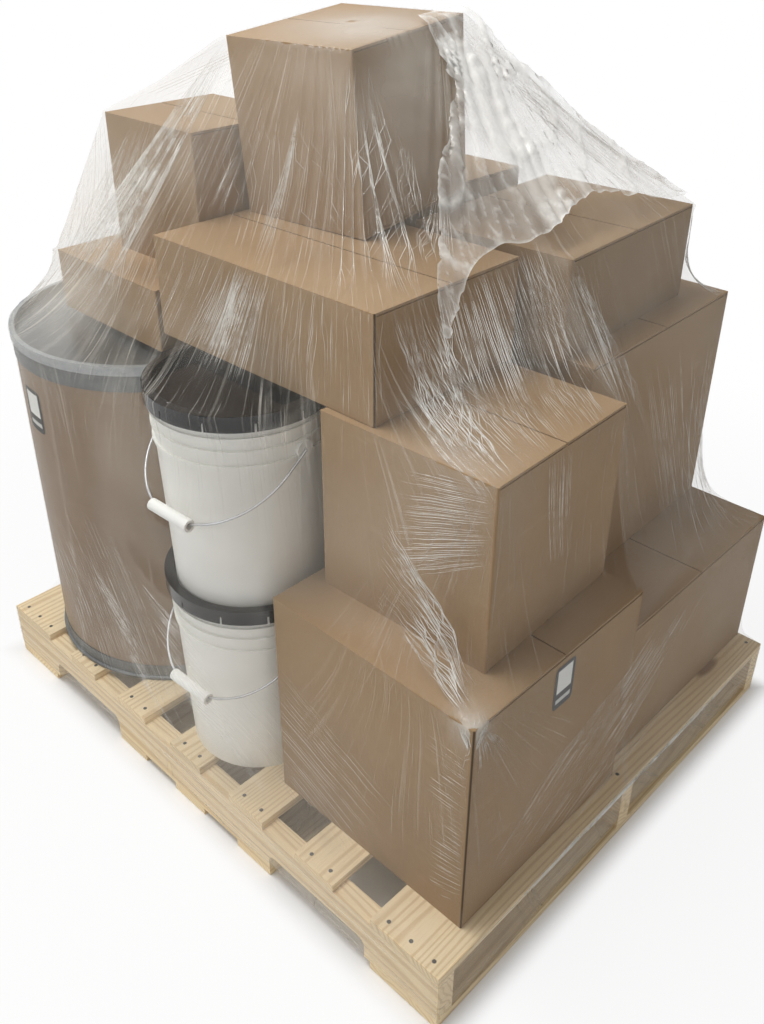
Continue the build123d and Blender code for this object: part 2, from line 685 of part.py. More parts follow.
fold_lines = [
    (
        front,
        deck_points(corner_right, deck_front)
        + [
            (near_cube_top, *carton_corner_at(*near_cube, 1, 0, -1, -1)),
            (middle_cube_top, *carton_corner_at(*middle_cube, 1, 0, 0, -1)),
            (long_flat_top, *carton_corner_at(*long_flat, 1, 0, 0, -1)),
        ],
        (1, -1, -1, -1),
        film_corner_fall,
    ),
    (
        right_side,
        deck_points(deck_right, corner_front)
        + [
            (near_cube_top, *carton_corner_at(*near_cube, 1, 0, 1, 1)),
            (middle_cube_top, *carton_corner_at(*middle_cube, 1, 0, 1, 0)),
            (long_flat_top, *carton_corner_at(*long_flat, 1, 0, 1, 0)),
        ],
        (1, -1, 1, 1),
        film_corner_fall,
    ),
    (
        right_side,
        deck_points(deck_right, side_middle)
        + [
            (near_cube_top, *carton_corner_at(*near_cube, 1, film_side_fold, 1, 0)),
            (middle_cube_top, *carton_corner_at(*middle_cube, 1, film_side_fold, 1, 0)),
            (long_flat_top, *carton_corner_at(*long_flat, 1, film_side_fold, 1, 0)),
        ],
        (1, -0.5, 1, 0),
        film_edge_fall,
    ),
    (
        right_side,
        deck_points(deck_right, near_cube_back)
        + [
            (near_cube_top, *carton_corner_at(*near_cube, 1, 1, 1, 0)),
            (middle_cube_top, *carton_corner_at(*middle_cube, 1, 1, 1, 0)),
            (right_flat_top, *carton_corner_at(*right_flat, 1, 0, 1, 0)),
        ],
        (1, 0, 1, 0),
        film_face_fall,
    ),
    (
        right_side,
        deck_points(deck_right, wide_base_place[1] + film_right_fold * wide_base_size[1])
        + [
            (wide_base_top, *carton_corner_at(*wide_base, 1, film_right_fold, 1, 0)),
            (tall_cube_top, *carton_corner_at(*tall_cube, 1, film_right_fold, 1, 0)),
            (right_flat_top, *carton_corner_at(*right_flat, 1, film_right_fold, 1, 0)),
        ],
        (1, 0.4, 1, 0),
        film_edge_fall,
    ),
    (
        right_side,
        deck_points(deck_right, corner_back)
        + [
            (wide_base_top, *carton_corner_at(*wide_base, 1, 1, 1, -1)),
            (tall_cube_top, *carton_corner_at(*tall_cube, 1, 1, 1, -1)),
            (right_flat_top, *carton_corner_at(*right_flat, 1, 1, 1, -1)),
        ],
        (1, 1, 1, -1),
        film_corner_fall,
    ),
    (
        rear,
        deck_points(corner_right, deck_back)
        + [
            (wide_base_top, *carton_corner_at(*wide_base, 1, 1, -1, 1)),
            (tall_cube_top, *carton_corner_at(*tall_cube, 1, 1, -1, 1)),
            (right_flat_top, *carton_corner_at(*right_flat, 1, 1, -1, 1)),
        ],
        (1, 1, -1, 1),
        film_corner_fall,
    ),
    (
        rear,
        deck_points(rear_stack_place[0], deck_back)
        + [
            (rear_middle_top, *carton_corner_at(*rear_stack, 1, 1, 0, 1)),
            (right_flat_top, *carton_corner_at(*right_flat, 0, 1, 0, 1)),
        ],
        (0, 1, 0, 1),
        film_rear_fall,
    ),
    (
        rear,
        deck_points(corner_left, deck_back)
        + [
            (rear_middle_top, *carton_corner_at(*rear_stack, 0, 1, 1, 1)),
            (rear_top_top, *carton_corner_at(*rear_top, 0, 1, 1, 1)),
        ],
        (-1, 1, 1, 1),
        film_corner_fall,
    ),
    (
        left_side,
        deck_points(deck_left, corner_back)
        + [
            (rear_middle_top, *carton_corner_at(*rear_stack, 0, 1, -1, -1)),
            (rear_top_top, *carton_corner_at(*rear_top, 0, 1, -1, -1)),
        ],
        (-1, 1, -1, -1),
        film_corner_fall,
    ),
    (
        left_side,
        deck_points(deck_left, rear_middle_line)
        + [(rear_middle_top, *carton_corner_at(*rear_stack, 0, film_side_fold, -1, 0))],
        (-1, 0.75, -1, 0),
        film_straight,
    ),
    (
        left_side,
        deck_points(deck_left, rear_stack_front)
        + [(rear_middle_top, *carton_corner_at(*rear_stack, 0, 0, -1, 0))],
        (-1, 0.5, -1, 0),
        film_straight,
    ),
    (
        left_side,
        deck_points(*drum_fold(180 - drum_fold_turn / 2))
        + [
            (drum_top, *drum_fold(180 - drum_fold_turn / 2)),
            (left_flat_top, *carton_corner_at(*left_flat, 0, 1, -1, 0)),
            (left_cube_top, *carton_corner_at(*left_cube, 0, 1, -1, 0)),
        ],
        (-1, 0, -1, 0),
        film_round_fall,
    ),
    (
        left_side,
        deck_points(*drum_fold(180 + drum_fold_turn / 2))
        + [
            (drum_top, *drum_fold(180 + drum_fold_turn / 2)),
            (left_flat_top, *carton_corner_at(*left_flat, 0, 0.5, -1, 0)),
            (left_cube_top, *carton_corner_at(*left_cube, 0, 0.5, -1, 0)),
        ],
        (-1, -0.5, -1, 0),
        film_round_fall,
    ),
    (
        left_side,
        deck_points(deck_left, corner_front)
        + [
            (drum_top, *drum_fold(180 + drum_fold_turn * 3 / 2)),
            (left_flat_top, *carton_corner_at(*left_flat, 0, 0, -1, 1)),
            (left_cube_top, *carton_corner_at(*left_cube, 0, 0, -1, 1)),
        ],
        (-1, -1, -1, 1),
        film_drum_fall,
    ),
    (
        front,
        deck_points(corner_left, deck_front)
        + [
            (drum_top, *drum_fold(270 - drum_fold_turn / 2)),
            (left_flat_top, *carton_corner_at(*left_flat, 0, 0, 1, -1)),
            (left_cube_top, *carton_corner_at(*left_cube, 0, 0, 1, -1)),
        ],
        (-1, -1, 1, -1),
        film_drum_fall,
    ),
    (
        front,
        deck_points(pail_place[0] - pail_half, deck_front)
        + [
            (lower_grip, pail_place[0] - pail_half, pail_front),
            (upper_grip, pail_place[0] - pail_half, pail_front),
            (pail_stack_top, pail_place[0] - pail_half, pail_lid_front),
            (long_flat_top, *carton_corner_at(*long_flat, 0, 0, 1, -1)),
            (left_cube_top, *carton_corner_at(*left_cube, 1, 0, 0, -1)),
        ],
        (-0.5, -1, 0, -1),
        film_face_fall,
    ),
    (
        front,
        deck_points(pail_place[0] + pail_half, deck_front)
        + [
            (lower_grip, pail_place[0] + pail_half, pail_front),
            (upper_grip, pail_place[0] + pail_half, pail_front),
            (pail_stack_top, pail_place[0] + pail_half, pail_lid_front),
            (long_flat_top, *carton_corner_at(*long_flat, 0.5, 0, 0, -1)),
        ],
        (0.2, -1, 0, -1),
        film_face_fall,
    ),
    (
        front,
        deck_points(near_cube_left + film_front_fold * near_cube_size[0], deck_front)
        + [
            (near_cube_top, *carton_corner_at(*near_cube, film_front_fold, 0, 0, -1)),
            (middle_cube_top, *carton_corner_at(*middle_cube, film_front_fold, 0, 0, -1)),
            (long_flat_top, *carton_corner_at(*long_flat, 0.9, 0, 0, -1)),
        ],
        (0.7, -1, 0, -1),
        film_edge_fall,
    ),
]


def fold_point(line, height):
    # Where the load steps in, the film runs in from the ledge and then follows the wall above it.
    facing, points, top_place, (ledge_fall, top_fall) = line
    top_point = top_corner(*top_place)
    centre = top_corner(0, 0)
    route = sorted(points) + [(top_point.Z, top_point.X, top_point.Y)]
    for (low, x0, y0), (high, x1, y1) in zip(route, route[1:]):
        if height <= high:
            left_to_go = (high - height) / (high - low)
            steps_in = hypot(x1 - centre.X, y1 - centre.Y) < hypot(x0 - centre.X, y0 - centre.Y)
            fall = top_fall if high == top_point.Z else ledge_fall
            if steps_in and fall:
                last = exp((low - high) / fall)
                left_to_go = (exp((low - height) / fall) - last) / (1 - last)
            return (x1 + (x0 - x1) * left_to_go, y1 + (y0 - y1) * left_to_go)
    return (top_point.X, top_point.Y)


def film_levels():
    # The levels of all folds, and more above each, close at first and then wider apart.
    folds = sorted({point[0] for line in fold_lines for point in line[1]})
    lowest_top = min(top_corner(*line[2]).Z for line in fold_lines)
    folds.append((folds[-1] + lowest_top) / 2)
    levels = []
    for low, high in zip(folds, folds[1:]):
        levels.append(low)
        rise = step = film_first_ring
        while rise < high - low - step / 2:
            levels.append(low + rise)
            step = min(step * film_ring_growth, film_ring_step)
            rise += step
    levels.append(folds[-1])
    return levels


def film_rings(thickness):
    # Level rings from the hem to the last fold, then one ring on the leaning plane of the top carton.
    rings = []
    for height in film_levels():
        ring = []
        for line in fold_lines:
            x, y = fold_point(line, height)
            facing = line[0]
            ring.append(Vector(x + facing[0] * thickness, y + facing[1] * thickness, height))
        rings.append(ring)
    top = []
    for facing, points, top_place, falls in fold_lines:
        along = top_carton_x * (facing[0] * thickness) + top_carton_y * (facing[1] * thickness)
        top.append(top_corner(*top_place) + along + lean_up * thickness)
    rings.append(top)
    return rings


def triangle(*corners):
    return Face(Wire.make_polygon(corners))


def film_solid():
    # The outer and the inner skin share their diagonals, so the film keeps its thickness.
    inner = film_rings(0.0)
    outer = film_rings(film_thickness)
    spokes = len(fold_lines)
    centre = top_corner(0, 0)
    faces = []
    for low in range(len(inner) - 1):
        for spoke in range(spokes):
            after = (spoke + 1) % spokes
            quad = [(low, spoke), (low, after), (low + 1, after), (low + 1, spoke)]
            corners = [inner[row][column] for row, column in quad]
            rising = (corners[0] + corners[2]) * 0.5
            falling = (corners[1] + corners[3]) * 0.5
            away = hypot(rising.X - centre.X, rising.Y - centre.Y)
            bulge = hypot(falling.X - centre.X, falling.Y - centre.Y)
            order = quad if away > bulge else quad[1:] + quad[:1]
            for skin in (inner, outer):
                points = [skin[row][column] for row, column in order]
                faces.append(triangle(points[0], points[1], points[2]))
                faces.append(triangle(points[0], points[2], points[3]))
    for spoke in range(spokes):
        after = (spoke + 1) % spokes
        faces.append(triangle(inner[0][spoke], outer[0][spoke], outer[0][after]))
        faces.append(triangle(inner[0][spoke], outer[0][after], inner[0][after]))
    faces.append(Face(Wire.make_polygon(inner[-1])))
    faces.append(Face(Wire.make_polygon(outer[-1])))
    return Solid(Shell(faces))


with BuildPart() as stretch_wrap:
    add(film_solid())
save(stretch_wrap, "stretch_wrap")

# The loose sheet hangs from the top carton's right edge and rests on the corner of the carton below.
sheet_lift = film_thickness + sheet_clearance
sheet_near = top_corner(1, -1, 1, 0) + Vector(sheet_lift, 0, 0)
sheet_far = top_corner(1, 1, 1, 0) + Vector(sheet_lift, 0, 0)
sheet_foot_x, sheet_foot_y = carton_corner_at(*right_flat, 1, 0, 1, 0)
sheet_foot = Vector(sheet_foot_x + sheet_lift, sheet_foot_y, right_flat_top)
sheet_along = (sheet_far - sheet_near).normalized()
sheet_face = sheet_along.cross(sheet_foot - sheet_near).normalized()
if sheet_face.X < 0:
    sheet_face = sheet_face * -1
sheet_plane = Plane(origin=sheet_near, x_dir=sheet_along, z_dir=sheet_face)
foot_local = sheet_plane.to_local_coords(sheet_foot)
sheet_width = (sheet_far - sheet_near).length
hang = 1 if foot_local.Y > 0 else -1
with BuildPart() as top_sheet:
    with BuildSketch(sheet_plane.offset(film_gap)):
        with BuildLine():
            Polyline(
                (-sheet_overhang, 0),
                (-sheet_overhang, hang * sheet_drop),
                (sheet_width / 3, hang * (sheet_drop - sheet_tip)),
                (sheet_width + sheet_overhang, hang * (sheet_drop - sheet_tip)),
                (sheet_width + sheet_overhang, 0),
                close=True,
            )
        make_face()
    extrude(amount=sheet_thickness)
save(top_sheet, "top_sheet")
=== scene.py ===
import bpy
import math
import numpy as np
import bmesh
from mathutils import Matrix, Vector, geometry, noise
from mathutils.bvhtree import BVHTree


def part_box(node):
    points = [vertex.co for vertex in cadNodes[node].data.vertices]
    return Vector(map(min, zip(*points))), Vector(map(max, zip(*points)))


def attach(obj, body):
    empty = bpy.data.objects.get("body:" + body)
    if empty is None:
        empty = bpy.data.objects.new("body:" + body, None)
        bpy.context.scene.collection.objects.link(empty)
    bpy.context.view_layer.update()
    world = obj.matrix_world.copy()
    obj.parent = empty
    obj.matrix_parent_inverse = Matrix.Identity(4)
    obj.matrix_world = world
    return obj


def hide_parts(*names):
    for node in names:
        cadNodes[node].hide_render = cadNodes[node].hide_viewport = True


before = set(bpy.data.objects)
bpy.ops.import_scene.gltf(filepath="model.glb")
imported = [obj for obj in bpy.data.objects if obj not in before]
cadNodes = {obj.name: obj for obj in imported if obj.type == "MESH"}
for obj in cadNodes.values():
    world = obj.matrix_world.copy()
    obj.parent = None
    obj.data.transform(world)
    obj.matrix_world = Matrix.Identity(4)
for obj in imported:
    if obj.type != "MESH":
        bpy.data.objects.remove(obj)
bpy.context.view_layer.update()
print("frame loaded:", len(cadNodes), "CAD nodes")


# Shader maths

class Wire:
    # one output of a shader node; a sum or product of wires adds its own Math node
    def __init__(self, bench, socket):
        self.bench, self.socket = bench, socket

    def maths(self, operation, left, right=0.0):
        return self.bench.node("ShaderNodeMath", {"operation": operation}, {0: left, 1: right})

    def __add__(self, other):
        return self.maths("ADD", self, other)

    def __sub__(self, other):
        return self.maths("SUBTRACT", self, other)

    def __rsub__(self, other):
        return self.maths("SUBTRACT", other, self)

    def __mul__(self, other):
        return self.maths("MULTIPLY", self, other)

    def __truediv__(self, other):
        return self.maths("DIVIDE", self, other)

    def __pow__(self, other):
        return self.maths("POWER", self, other)

    def __abs__(self):
        return self.maths("ABSOLUTE", self)

    __radd__ = __add__
    __rmul__ = __mul__

    def sine(self):
        return self.maths("SINE", self)

    def highest(self, other):
        return self.maths("MAXIMUM", self, other)

    def lowest(self, other):
        return self.maths("MINIMUM", self, other)

    def span(self, low, high):
        # 0 at low and 1 at high, eased at both ends
        return self.bench.node(
            "ShaderNodeMapRange", {"interpolation_type": "SMOOTHSTEP"},
            {"Value": self, "From Min": low, "From Max": high},
        )


class Bench:
    # the node tree of one material
    def __init__(self, name):
        self.material = bpy.data.materials.new(name)
        self.material.use_nodes = True
        self.tree = self.material.node_tree
        self.tree.nodes.clear()

    def node(self, kind, settings={}, inputs={}, output=0):
        made = self.tree.nodes.new(kind)
        for name, value in settings.items():
            setattr(made, name, value)
        for key, value in inputs.items():
            if isinstance(value, Wire):
                self.tree.links.new(value.socket, made.inputs[key])
            else:
                made.inputs[key].default_value = value
        return Wire(self, made.outputs[output]) if len(made.outputs) else None

    def place(self, stretch=(1, 1, 1), shift=(0, 0, 0), turn=(0, 0, 0), source=None):
        source = source or self.node("ShaderNodeTexCoord", output="Object")
        return self.node(
            "ShaderNodeMapping", {}, {"Vector": source, "Scale": stretch, "Location": shift, "Rotation": turn}
        )

    def axes(self, vector):
        parts = self.node("ShaderNodeSeparateXYZ", {}, {0: vector}).socket.node
        return [Wire(self, parts.outputs[count]) for count in range(3)]

    def noise(self, vector, scale, detail=3.0, rough=0.5, warp=0.0):
        return self.node(
            "ShaderNodeTexNoise", {},
            {"Vector": vector, "Scale": scale, "Detail": detail, "Roughness": rough, "Distortion": warp},
        )

    def blend(self, share, first, second):
        return self.node("ShaderNodeMix", {"data_type": "RGBA"}, {0: share, 6: first, 7: second}, output=2)

    def bump(self, height, depth, strength=1.0):
        return self.node("ShaderNodeBump", {}, {"Height": height, "Distance": depth, "Strength": strength})

    def finish(self, **sockets):
        named = {key.replace("_", " "): value for key, value in sockets.items()}
        shader = self.node("ShaderNodeBsdfPrincipled", {}, named)
        self.node("ShaderNodeOutputMaterial", {}, {"Surface": shader})
        return self.material


def tint(red, green, blue):
    # a colour as a screen shows it, from 0 to 255
    parts = [part / 255 for part in (red, green, blue)]
    return (*[part / 12.92 if part <= 0.04045 else ((part + 0.055) / 1.055) ** 2.4 for part in parts], 1.0)


def wear(node, material):
    own = cadNodes[node].data.materials
    own.clear()
    own.append(material)


# Shapes read from the CAD nodes

def nodePoints(node):
    mesh = cadNodes[node].data
    points = np.zeros(len(mesh.vertices) * 3, np.float64)
    mesh.vertices.foreach_get("co", points)
    return points.reshape(-1, 3)


def nodeTriangles(node):
    mesh = cadNodes[node].data
    mesh.calc_loop_triangles()
    corners = np.zeros(len(mesh.loop_triangles) * 3, np.int32)
    mesh.loop_triangles.foreach_get("vertices", corners)
    return nodePoints(node)[corners.reshape(-1, 3)]


def boxSides(node):
    # the six main faces of a carton, also of one that leans
    triangles = nodeTriangles(node)
    cross = np.cross(triangles[:, 1] - triangles[:, 0], triangles[:, 2] - triangles[:, 0])
    area = np.linalg.norm(cross, axis=1)
    normals = cross / np.maximum(area, 1e-12)[:, None]
    points = nodePoints(node)
    sides = []
    for axis in range(3):
        for sign in (-1, 1):
            near = (normals[:, axis] * sign > 0.97) & (area > 1e-9)
            normal = (normals[near] * area[near, None]).sum(0)
            normal = normal / np.linalg.norm(normal)
            sides.append((normal, (points @ normal).max()))
    return sides


def nodeCorner(node, right, back, top):
    # a corner of a carton, from its three main faces
    sides = boxSides(node)
    chosen = [sides[0 + int(right)], sides[2 + int(back)], sides[4 + int(top)]]
    return np.linalg.solve(np.array([side[0] for side in chosen]), np.array([side[1] for side in chosen]))


# Cartons

kraftLook = {
    "pale": (170, 141, 106),
    "deep": (150, 123, 90),
    "fleck": (122, 98, 72),
    "flutePitch": 0.0078,
    "fluteDepth": 0.00012,
    "slit": (46, 36, 28),
    "slitWidth": (0.0012, 0.0034),
    "slitCartons": ("carton_near_base", "carton_long_flat"),
    "cartons": {
        "carton_near_base": 0.98,
        "carton_wide_base": 0.97,
        "carton_near_middle": 1.02,
        "carton_tall_right": 1.0,
        "carton_long_flat": 1.0,
        "carton_flat_right": 0.94,
        "carton_flat_left": 1.04,
        "carton_cube_left": 0.97,
        "carton_top": 0.98,
        "carton_rear_base": 1.0,
        "carton_rear_middle": 0.96,
        "carton_rear_top": 1.0,
    },
}


def slitMask(bench, node):
    # the dark joint where the board meets at the near upright edge
    foot, head = nodeCorner(node, 1, 0, 0), nodeCorner(node, 1, 0, 1)
    x, y, z = bench.axes(bench.node("ShaderNodeTexCoord", output="Object"))
    slope = (head - foot) / (head[2] - foot[2])
    offsetX = x - ((z - float(foot[2])) * float(slope[0]) + float(foot[0]))
    offsetY = y - ((z - float(foot[2])) * float(slope[1]) + float(foot[1]))
    away = (offsetX * offsetX + offsetY * offsetY) ** 0.5
    return 1 - away.span(*kraftLook["slitWidth"])


def kraftBoard(name, lightness, seed, node):
    bench = Bench(name)
    where = bench.place(shift=(seed * 1.7, seed * 0.9, seed * 2.3))
    x, y, z = bench.axes(bench.node("ShaderNodeTexCoord", output="Object"))
    facing = bench.axes(bench.node("ShaderNodeNewGeometry", output="Normal"))
    level = abs(facing[2]).span(0.6, 0.85)
    acrossFlutes = (x + y) * (1 - level) + x * level
    flutes = (acrossFlutes * (2 * math.pi / kraftLook["flutePitch"])).sine() * 0.5 + 0.5
    cloud = bench.noise(where, 3.2, 5, 0.55)
    pulp = bench.noise(bench.place((1, 1, 0.35), (seed, seed, seed)), 240, 4, 0.6)
    flecks = bench.noise(bench.place((1, 1, 0.25), (0, seed, 0)), 620, 2, 0.5).span(0.66, 0.74)
    scuff = bench.noise(bench.place((1, 1, 4.0), (seed, 0, 0)), 9, 6, 0.7).span(0.56, 0.72)
    mix = cloud.span(0.3, 0.7) * 0.55 + pulp.span(0.3, 0.7) * 0.3 + flutes * 0.12
    pale = tint(*[part * lightness for part in kraftLook["pale"]])
    deep = tint(*[part * lightness for part in kraftLook["deep"]])
    board = bench.blend(mix, deep, pale)
    marked = bench.blend(flecks * 0.22, board, tint(*kraftLook["fleck"]))
    rubbed = bench.blend(scuff * 0.12, marked, tint(205, 178, 150))
    if node in kraftLook["slitCartons"]:
        rubbed = bench.blend(slitMask(bench, node) * 0.85, rubbed, tint(*kraftLook["slit"]))
    relief = flutes * 0.3 + cloud * 0.6
    return bench.finish(
        Base_Color=rubbed,
        Roughness=0.66 + pulp * 0.12 - scuff * 0.05,
        Normal=bench.bump(relief, kraftLook["fluteDepth"], 0.4),
        Specular_IOR_Level=0.35,
    )


for count, (node, lightness) in enumerate(kraftLook["cartons"].items()):
    wear(node, kraftBoard("kraftBoard" + str(count), lightness, count + 1.0, node))
print("cartons dressed")


# Pallet

pineLook = {
    "early": (246, 225, 186),
    "late": (204, 170, 122),
    "heart": (212, 182, 134),
    "knot": (132, 92, 56),
    "grime": (140, 124, 100),
    "ringScale": 120.0,
}


def pineWood(name, along, seed, lightness):
    bench = Bench(name)
    stretch = (0.06, 1, 1) if along == "x" else (1, 0.06, 1)
    shift = (seed * 0.37, seed * 0.53, seed * 0.71)
    where = bench.place(stretch, shift)
    bend = bench.noise(where, 5, 3, 0.5)
    x, y, z = bench.axes(where)
    across = y if along == "x" else x
    radial = ((across * 1.0 + (bend - 0.5) * 0.16) ** 2 + (z * 0.9 + (bend - 0.5) * 0.1 + 0.05) ** 2) ** 0.5
    rings = (radial * (pineLook["ringScale"] * 2 * math.pi)).sine() * 0.5 + 0.5
    latewood = rings.span(0.45, 0.98)
    fibre = bench.noise(bench.place(tuple(part * 1.0 for part in stretch), shift), 420, 4, 0.7)
    knotStretch = (0.32, 1, 1) if along == "x" else (1, 0.32, 1)
    cells = bench.node(
        "ShaderNodeTexVoronoi", {"feature": "F1"},
        {"Vector": bench.place(knotStretch, shift), "Scale": 5.2, "Randomness": 1.0},
    )
    knots = 1 - cells.span(0.04, 0.085)
    halo = 1 - cells.span(0.07, 0.2)
    dirt = bench.noise(bench.place(shift=shift), 7, 5, 0.65).span(0.52, 0.75)
    early = tint(*[min(255, part * lightness) for part in pineLook["early"]])
    late = tint(*[min(255, part * lightness) for part in pineLook["late"]])
    wood = bench.blend(latewood * 0.5, early, late)
    wood = bench.blend(fibre.span(0.45, 0.7) * 0.28, wood, tint(*pineLook["heart"]))
    wood = bench.blend(halo * 0.45, wood, tint(*pineLook["heart"]))
    wood = bench.blend(knots * 0.85, wood, tint(*pineLook["knot"]))
    wood = bench.blend(dirt * 0.16, wood, tint(*pineLook["grime"]))
    relief = fibre * 0.7 + latewood * 0.4
    return bench.finish(
        Base_Color=wood,
        Roughness=0.6 + fibre * 0.2,
        Normal=bench.bump(relief, 0.0003, 0.35),
        Specular_IOR_Level=0.4,
    )


pineTones = np.random.default_rng(14).uniform(0.93, 1.04, 32)
pineNodes = sorted(node for node in cadNodes if "_board_" in node or node.startswith("stringer_"))
for count, node in enumerate(pineNodes):
    along = "x" if node.startswith("stringer_") else "y"
    wear(node, pineWood("pineWood" + str(count), along, count * 1.9 + 0.4, pineTones[count]))


def nailSteel():
    bench = Bench("nailSteel")
    dull = bench.noise(bench.place(), 150, 3, 0.6)
    colour = bench.blend(dull.span(0.35, 0.65), tint(52, 50, 48), tint(92, 90, 88))
    return bench.finish(Base_Color=colour, Metallic=0.6, Roughness=0.42 + dull * 0.25)


for node in ("deck_nails_top", "deck_nails_bottom"):
    wear(node, nailSteel())
print("pallet dressed")


# Drum

drumLook = {
    "board": (144, 121, 96),
    "boardDeep": (128, 106, 83),
    "steel": (150, 154, 155),
    "steelDeep": (126, 130, 132),
    "plyPitch": 0.0042,
}


def drumBoard():
    bench = Bench("drumBoard")
    where = bench.place()
    x, y, z = bench.axes(where)
    cloud = bench.noise(bench.place((1, 1, 0.3)), 6, 5, 0.6)
    plies = bench.noise(bench.place((0.5, 0.5, 26)), 8, 3, 0.5)
    fibre = bench.noise(bench.place((1, 1, 0.2)), 300, 4, 0.6)
    share = cloud.span(0.3, 0.7) * 0.6 + plies.span(0.35, 0.65) * 0.25 + fibre * 0.15
    colour = bench.blend(share, tint(*drumLook["boardDeep"]), tint(*drumLook["board"]))
    return bench.finish(
        Base_Color=colour,
        Roughness=0.45 + fibre * 0.15,
        Normal=bench.bump(plies, 0.0003, 0.25),
        Coat_Weight=0.12,
    )


def drumSteel(name, lightness, rough):
    bench = Bench(name)
    spangle = bench.node(
        "ShaderNodeTexVoronoi", {"feature": "F1"}, {"Vector": bench.place(), "Scale": 120.0}, output="Color"
    )
    shade = bench.axes(spangle)[0]
    streak = bench.noise(bench.place((1, 1, 6)), 14, 4, 0.6)
    deep = tint(*[part * lightness for part in drumLook["steelDeep"]])
    pale = tint(*[part * lightness for part in drumLook["steel"]])
    colour = bench.blend(shade * 0.35 + streak.span(0.3, 0.7) * 0.5, deep, pale)
    return bench.finish(
        Base_Color=colour,
        Metallic=0.55,
        Roughness=rough + streak * 0.14,
        Normal=bench.bump(streak, 0.0005, 0.3),
    )


wear("drum_body", drumBoard())
for node in ("drum_bottom_chime", "drum_top_chime"):
    wear(node, drumSteel("drumBand", 0.76, 0.4))
wear("drum_lid", drumSteel("drumLidSteel", 0.78, 0.24))
for node in ("drum_locking_ring", "drum_ring_lever"):
    wear(node, drumSteel("drumRingSteel", 1.12, 0.34))
print("drum dressed")


# Pails

pailLook = {"white": (248, 248, 243), "shade": (238, 238, 232), "lid": (14, 19, 25), "grip": (246, 246, 242)}


def pailPlastic(name, colour, shade):
    bench = Bench(name)
    cloud = bench.noise(bench.place(), 5, 4, 0.5)
    peel = bench.noise(bench.place(), 190, 2, 0.5)
    scratch = bench.noise(bench.place((1, 1, 14)), 22, 5, 0.7).span(0.6, 0.75)
    mixed = bench.blend(cloud.span(0.3, 0.7), tint(*shade), tint(*colour))
    mixed = bench.blend(scratch * 0.1, mixed, tint(176, 174, 168))
    return bench.finish(
        Base_Color=mixed,
        Roughness=0.34 + peel * 0.08 + scratch * 0.12,
        Normal=bench.bump(peel + scratch * 0.3, 0.0003, 0.35),
    )


def lidPlastic():
    bench = Bench("lidPlastic")
    cloud = bench.noise(bench.place(), 9, 4, 0.5)
    dust = bench.noise(bench.place(), 130, 4, 0.7).span(0.55, 0.8)
    mixed = bench.blend(dust * 0.03 + cloud.span(0.4, 0.8) * 0.05, tint(*pailLook["lid"]), tint(92, 92, 94))
    return bench.finish(
        Base_Color=mixed, Roughness=0.14 + dust * 0.05 + cloud * 0.06, Normal=bench.bump(cloud, 0.0004, 0.2)
    )


def bailSteel():
    bench = Bench("bailSteel")
    drawn = bench.noise(bench.place(), 90, 3, 0.5)
    colour = bench.blend(drawn, tint(150, 150, 152), tint(196, 196, 198))
    return bench.finish(Base_Color=colour, Metallic=0.9, Roughness=0.28 + drawn * 0.14)


pailWhite = pailPlastic("pailWhite", pailLook["white"], pailLook["shade"])
gripWhite = pailPlastic("gripWhite", pailLook["grip"], pailLook["shade"])
lidBlack = lidPlastic()
wireSteel = bailSteel()
for prefix in ("lower_pail", "upper_pail"):
    wear(prefix + "_body", pailWhite)
    wear(prefix + "_lid", lidBlack)
    wear(prefix + "_bail", wireSteel)
    wear(prefix + "_grip", gripWhite)
print("pails dressed")


# Stretch film: a taut skin over everything that stands out

filmShape = {
    "columns": 420,
    "rows": 216,
    "levels": [(70, 36, 500), (210, 108, 120), (420, 216, 50)],
    "hoopPull": 0.52,
    "standOff": 0.0016,
    "boardHem": 0.018,
    "hemWave": 0.010,
    "tensionHalf": 0.008,
    "tensionDeep": 0.30,
    "tiltRows": ([0.0, 0.31, 0.56, 1.0], [0.0, 20.0, 45.0, 89.0]),
    "coreTop": 0.62,
    "coreBend": 0.75,
}


def roundSides(node, facets=48):
    points = nodePoints(node)
    sides = [(np.array([0.0, 0.0, sign]), (points @ np.array([0.0, 0.0, sign])).max()) for sign in (-1, 1)]
    for count in range(facets):
        turn = 2 * math.pi * count / facets
        normal = np.array([math.cos(turn), math.sin(turn), 0.0])
        sides.append((normal, (points @ normal).max()))
    return sides


def plainSides(low, high):
    return [(np.eye(3)[axis] * sign, (high if sign > 0 else low)[axis] * sign) for axis in range(3) for sign in (-1, 1)]


palletSides = plainSides(
    np.array([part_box("top_board_1")[0].x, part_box("top_board_1")[0].y, 0.0]), np.array(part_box("top_board_7")[1])
)
obstacles = [palletSides]
obstacles += [boxSides(node) for node in kraftLook["cartons"]]
obstacles += [roundSides(node) for node in ("drum_body", "drum_bottom_chime", "drum_locking_ring")]
obstacles += [roundSides(prefix + "_lid", 36) for prefix in ("lower_pail", "upper_pail")]
obstacles += [plainSides(*[np.array(end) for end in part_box(prefix + "_grip")]) for prefix in ("lower_pail", "upper_pail")]


